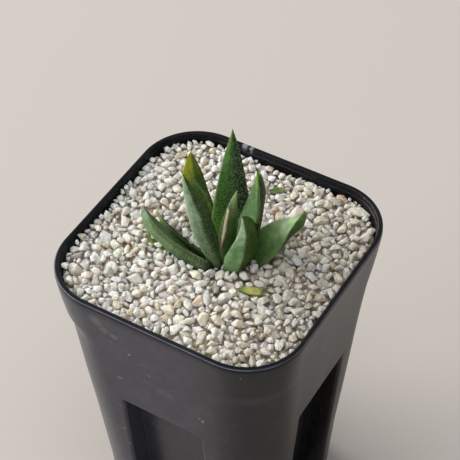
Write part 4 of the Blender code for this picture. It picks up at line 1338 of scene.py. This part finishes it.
def build_bed():
    """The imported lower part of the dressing, seen only between the grains."""
    steps = 46
    rings = []
    low = 118.3
    count = 96
    angles = np.linspace(0, 2 * np.pi, count, endpoint=False)

    def outline(half, radius):
        out = []
        for a in angles:
            d = np.array([math.cos(a), math.sin(a)])
            lo_, hi_ = 0.0, half * 1.5
            for _ in range(30):
                mid = (lo_ + hi_) / 2
                q = np.abs(d * mid) - (half - radius)
                dist = np.linalg.norm(np.maximum(q, 0)) + min(q.max(), 0) - radius
                if dist < 0:
                    lo_ = mid
                else:
                    hi_ = mid
            out.append(d * lo_)
        return np.array(out)

    edge = outline(body_half(low) - WALL - 0.3, body_radius(low) - WALL)
    rings.append(np.column_stack([edge, np.full(count, low)]))
    top_edge = outline(body_half(123) - WALL - 0.15, body_radius(123) - WALL)
    for i in range(steps):
        f = 1 - i / steps
        xy = top_edge * f
        p = np.column_stack([xy, np.zeros(count)])
        z = gravel_surface(xy[:, 0], xy[:, 1]) - 2.5 + 0.5 * fractal(p * 0.7, 2, 8)
        rings.append(np.column_stack([xy, z]))
    verts = np.concatenate(rings + [[[0, 0, float(gravel_surface(np.array(0.0), np.array(0.0))) - 2.5]], [[0, 0, low]]])
    faces = skin_of_rings(len(rings), count).tolist()
    last = (len(rings) - 1) * count
    centre_top = len(rings) * count
    for j in range(count):
        faces.append([last + j, last + (j + 1) % count, centre_top])
        faces.append([(j + 1) % count, j, centre_top + 1])
    return mesh_object("gravel_bed", verts, faces, BED, ("gravel_dressing",))


bed = build_bed()
gravel = build_gravel()


# -------------------------------------------------------------- floor, light
def build_floor():
    bm = bmesh.new()
    bmesh.ops.create_grid(bm, x_segments=8, y_segments=8, size=6.0)
    mesh = bpy.data.meshes.new("floor")
    bm.to_mesh(mesh)
    bm.free()
    made = bpy.data.objects.new("floor", mesh)
    bpy.context.scene.collection.objects.link(made)
    made.data.materials.append(FLOOR)
    return made


floor = build_floor()


def area_light(name, place, aim, size, energy, colour):
    light = bpy.data.lights.new(name, "AREA")
    light.shape = "RECTANGLE"
    light.size, light.size_y = size
    light.energy = energy
    light.color = colour
    made = bpy.data.objects.new(name, light)
    bpy.context.scene.collection.objects.link(made)
    made.location = place
    made.rotation_euler = (Vector(aim) - Vector(place)).to_track_quat("-Z", "Y").to_euler()
    return made


area_light("window", (-3.80, -0.30, 1.95), (0, 0, 0.10), (5.0, 3.4), 296, (1.0, 0.980, 0.955))
area_light("front_soft", (-1.64, -2.84, 2.30), (0, 0, 0.12), (1.6, 1.6), 26, (0.94, 0.97, 1.0))
area_light("overhead", (0.4, -0.3, 4.2), (0, 0, 0.10), (3.0, 3.0), 60, (0.97, 0.985, 1.0))

world = bpy.data.worlds.new("studio")
bpy.context.scene.world = world
bpy.context.scene.view_settings.view_transform = "Standard"
world.use_nodes = True
back_node = world.node_tree.nodes["Background"]
back_node.inputs["Color"].default_value = (0.94, 0.97, 1.0, 1)
back_node.inputs["Strength"].default_value = 0.23


# ------------------------------------------------------------------- camera
camera_data = bpy.data.cameras.new("camera")
camera_data.lens = 118.9
camera_data.sensor_width = 36
camera_data.sensor_fit = "HORIZONTAL"
camera_data.clip_start = 0.01
camera_data.clip_end = 50
camera = bpy.data.objects.new("camera", camera_data)
bpy.context.scene.collection.objects.link(camera)
right = Vector((0.86049052, 0.5093996, -0.00825291))
upward = Vector((-0.36333919, 0.62495592, 0.69095205))
backward = Vector((0.3571284, -0.59155908, 0.72285348))
camera.matrix_world = Matrix(
    (
        (right.x, upward.x, backward.x, 0.179204),
        (right.y, upward.y, backward.y, -0.290579),
        (right.z, upward.z, backward.z, 0.492589),
        (0, 0, 0, 1),
    )
)
bpy.context.scene.camera = camera

bpy.context.view_layer.update()
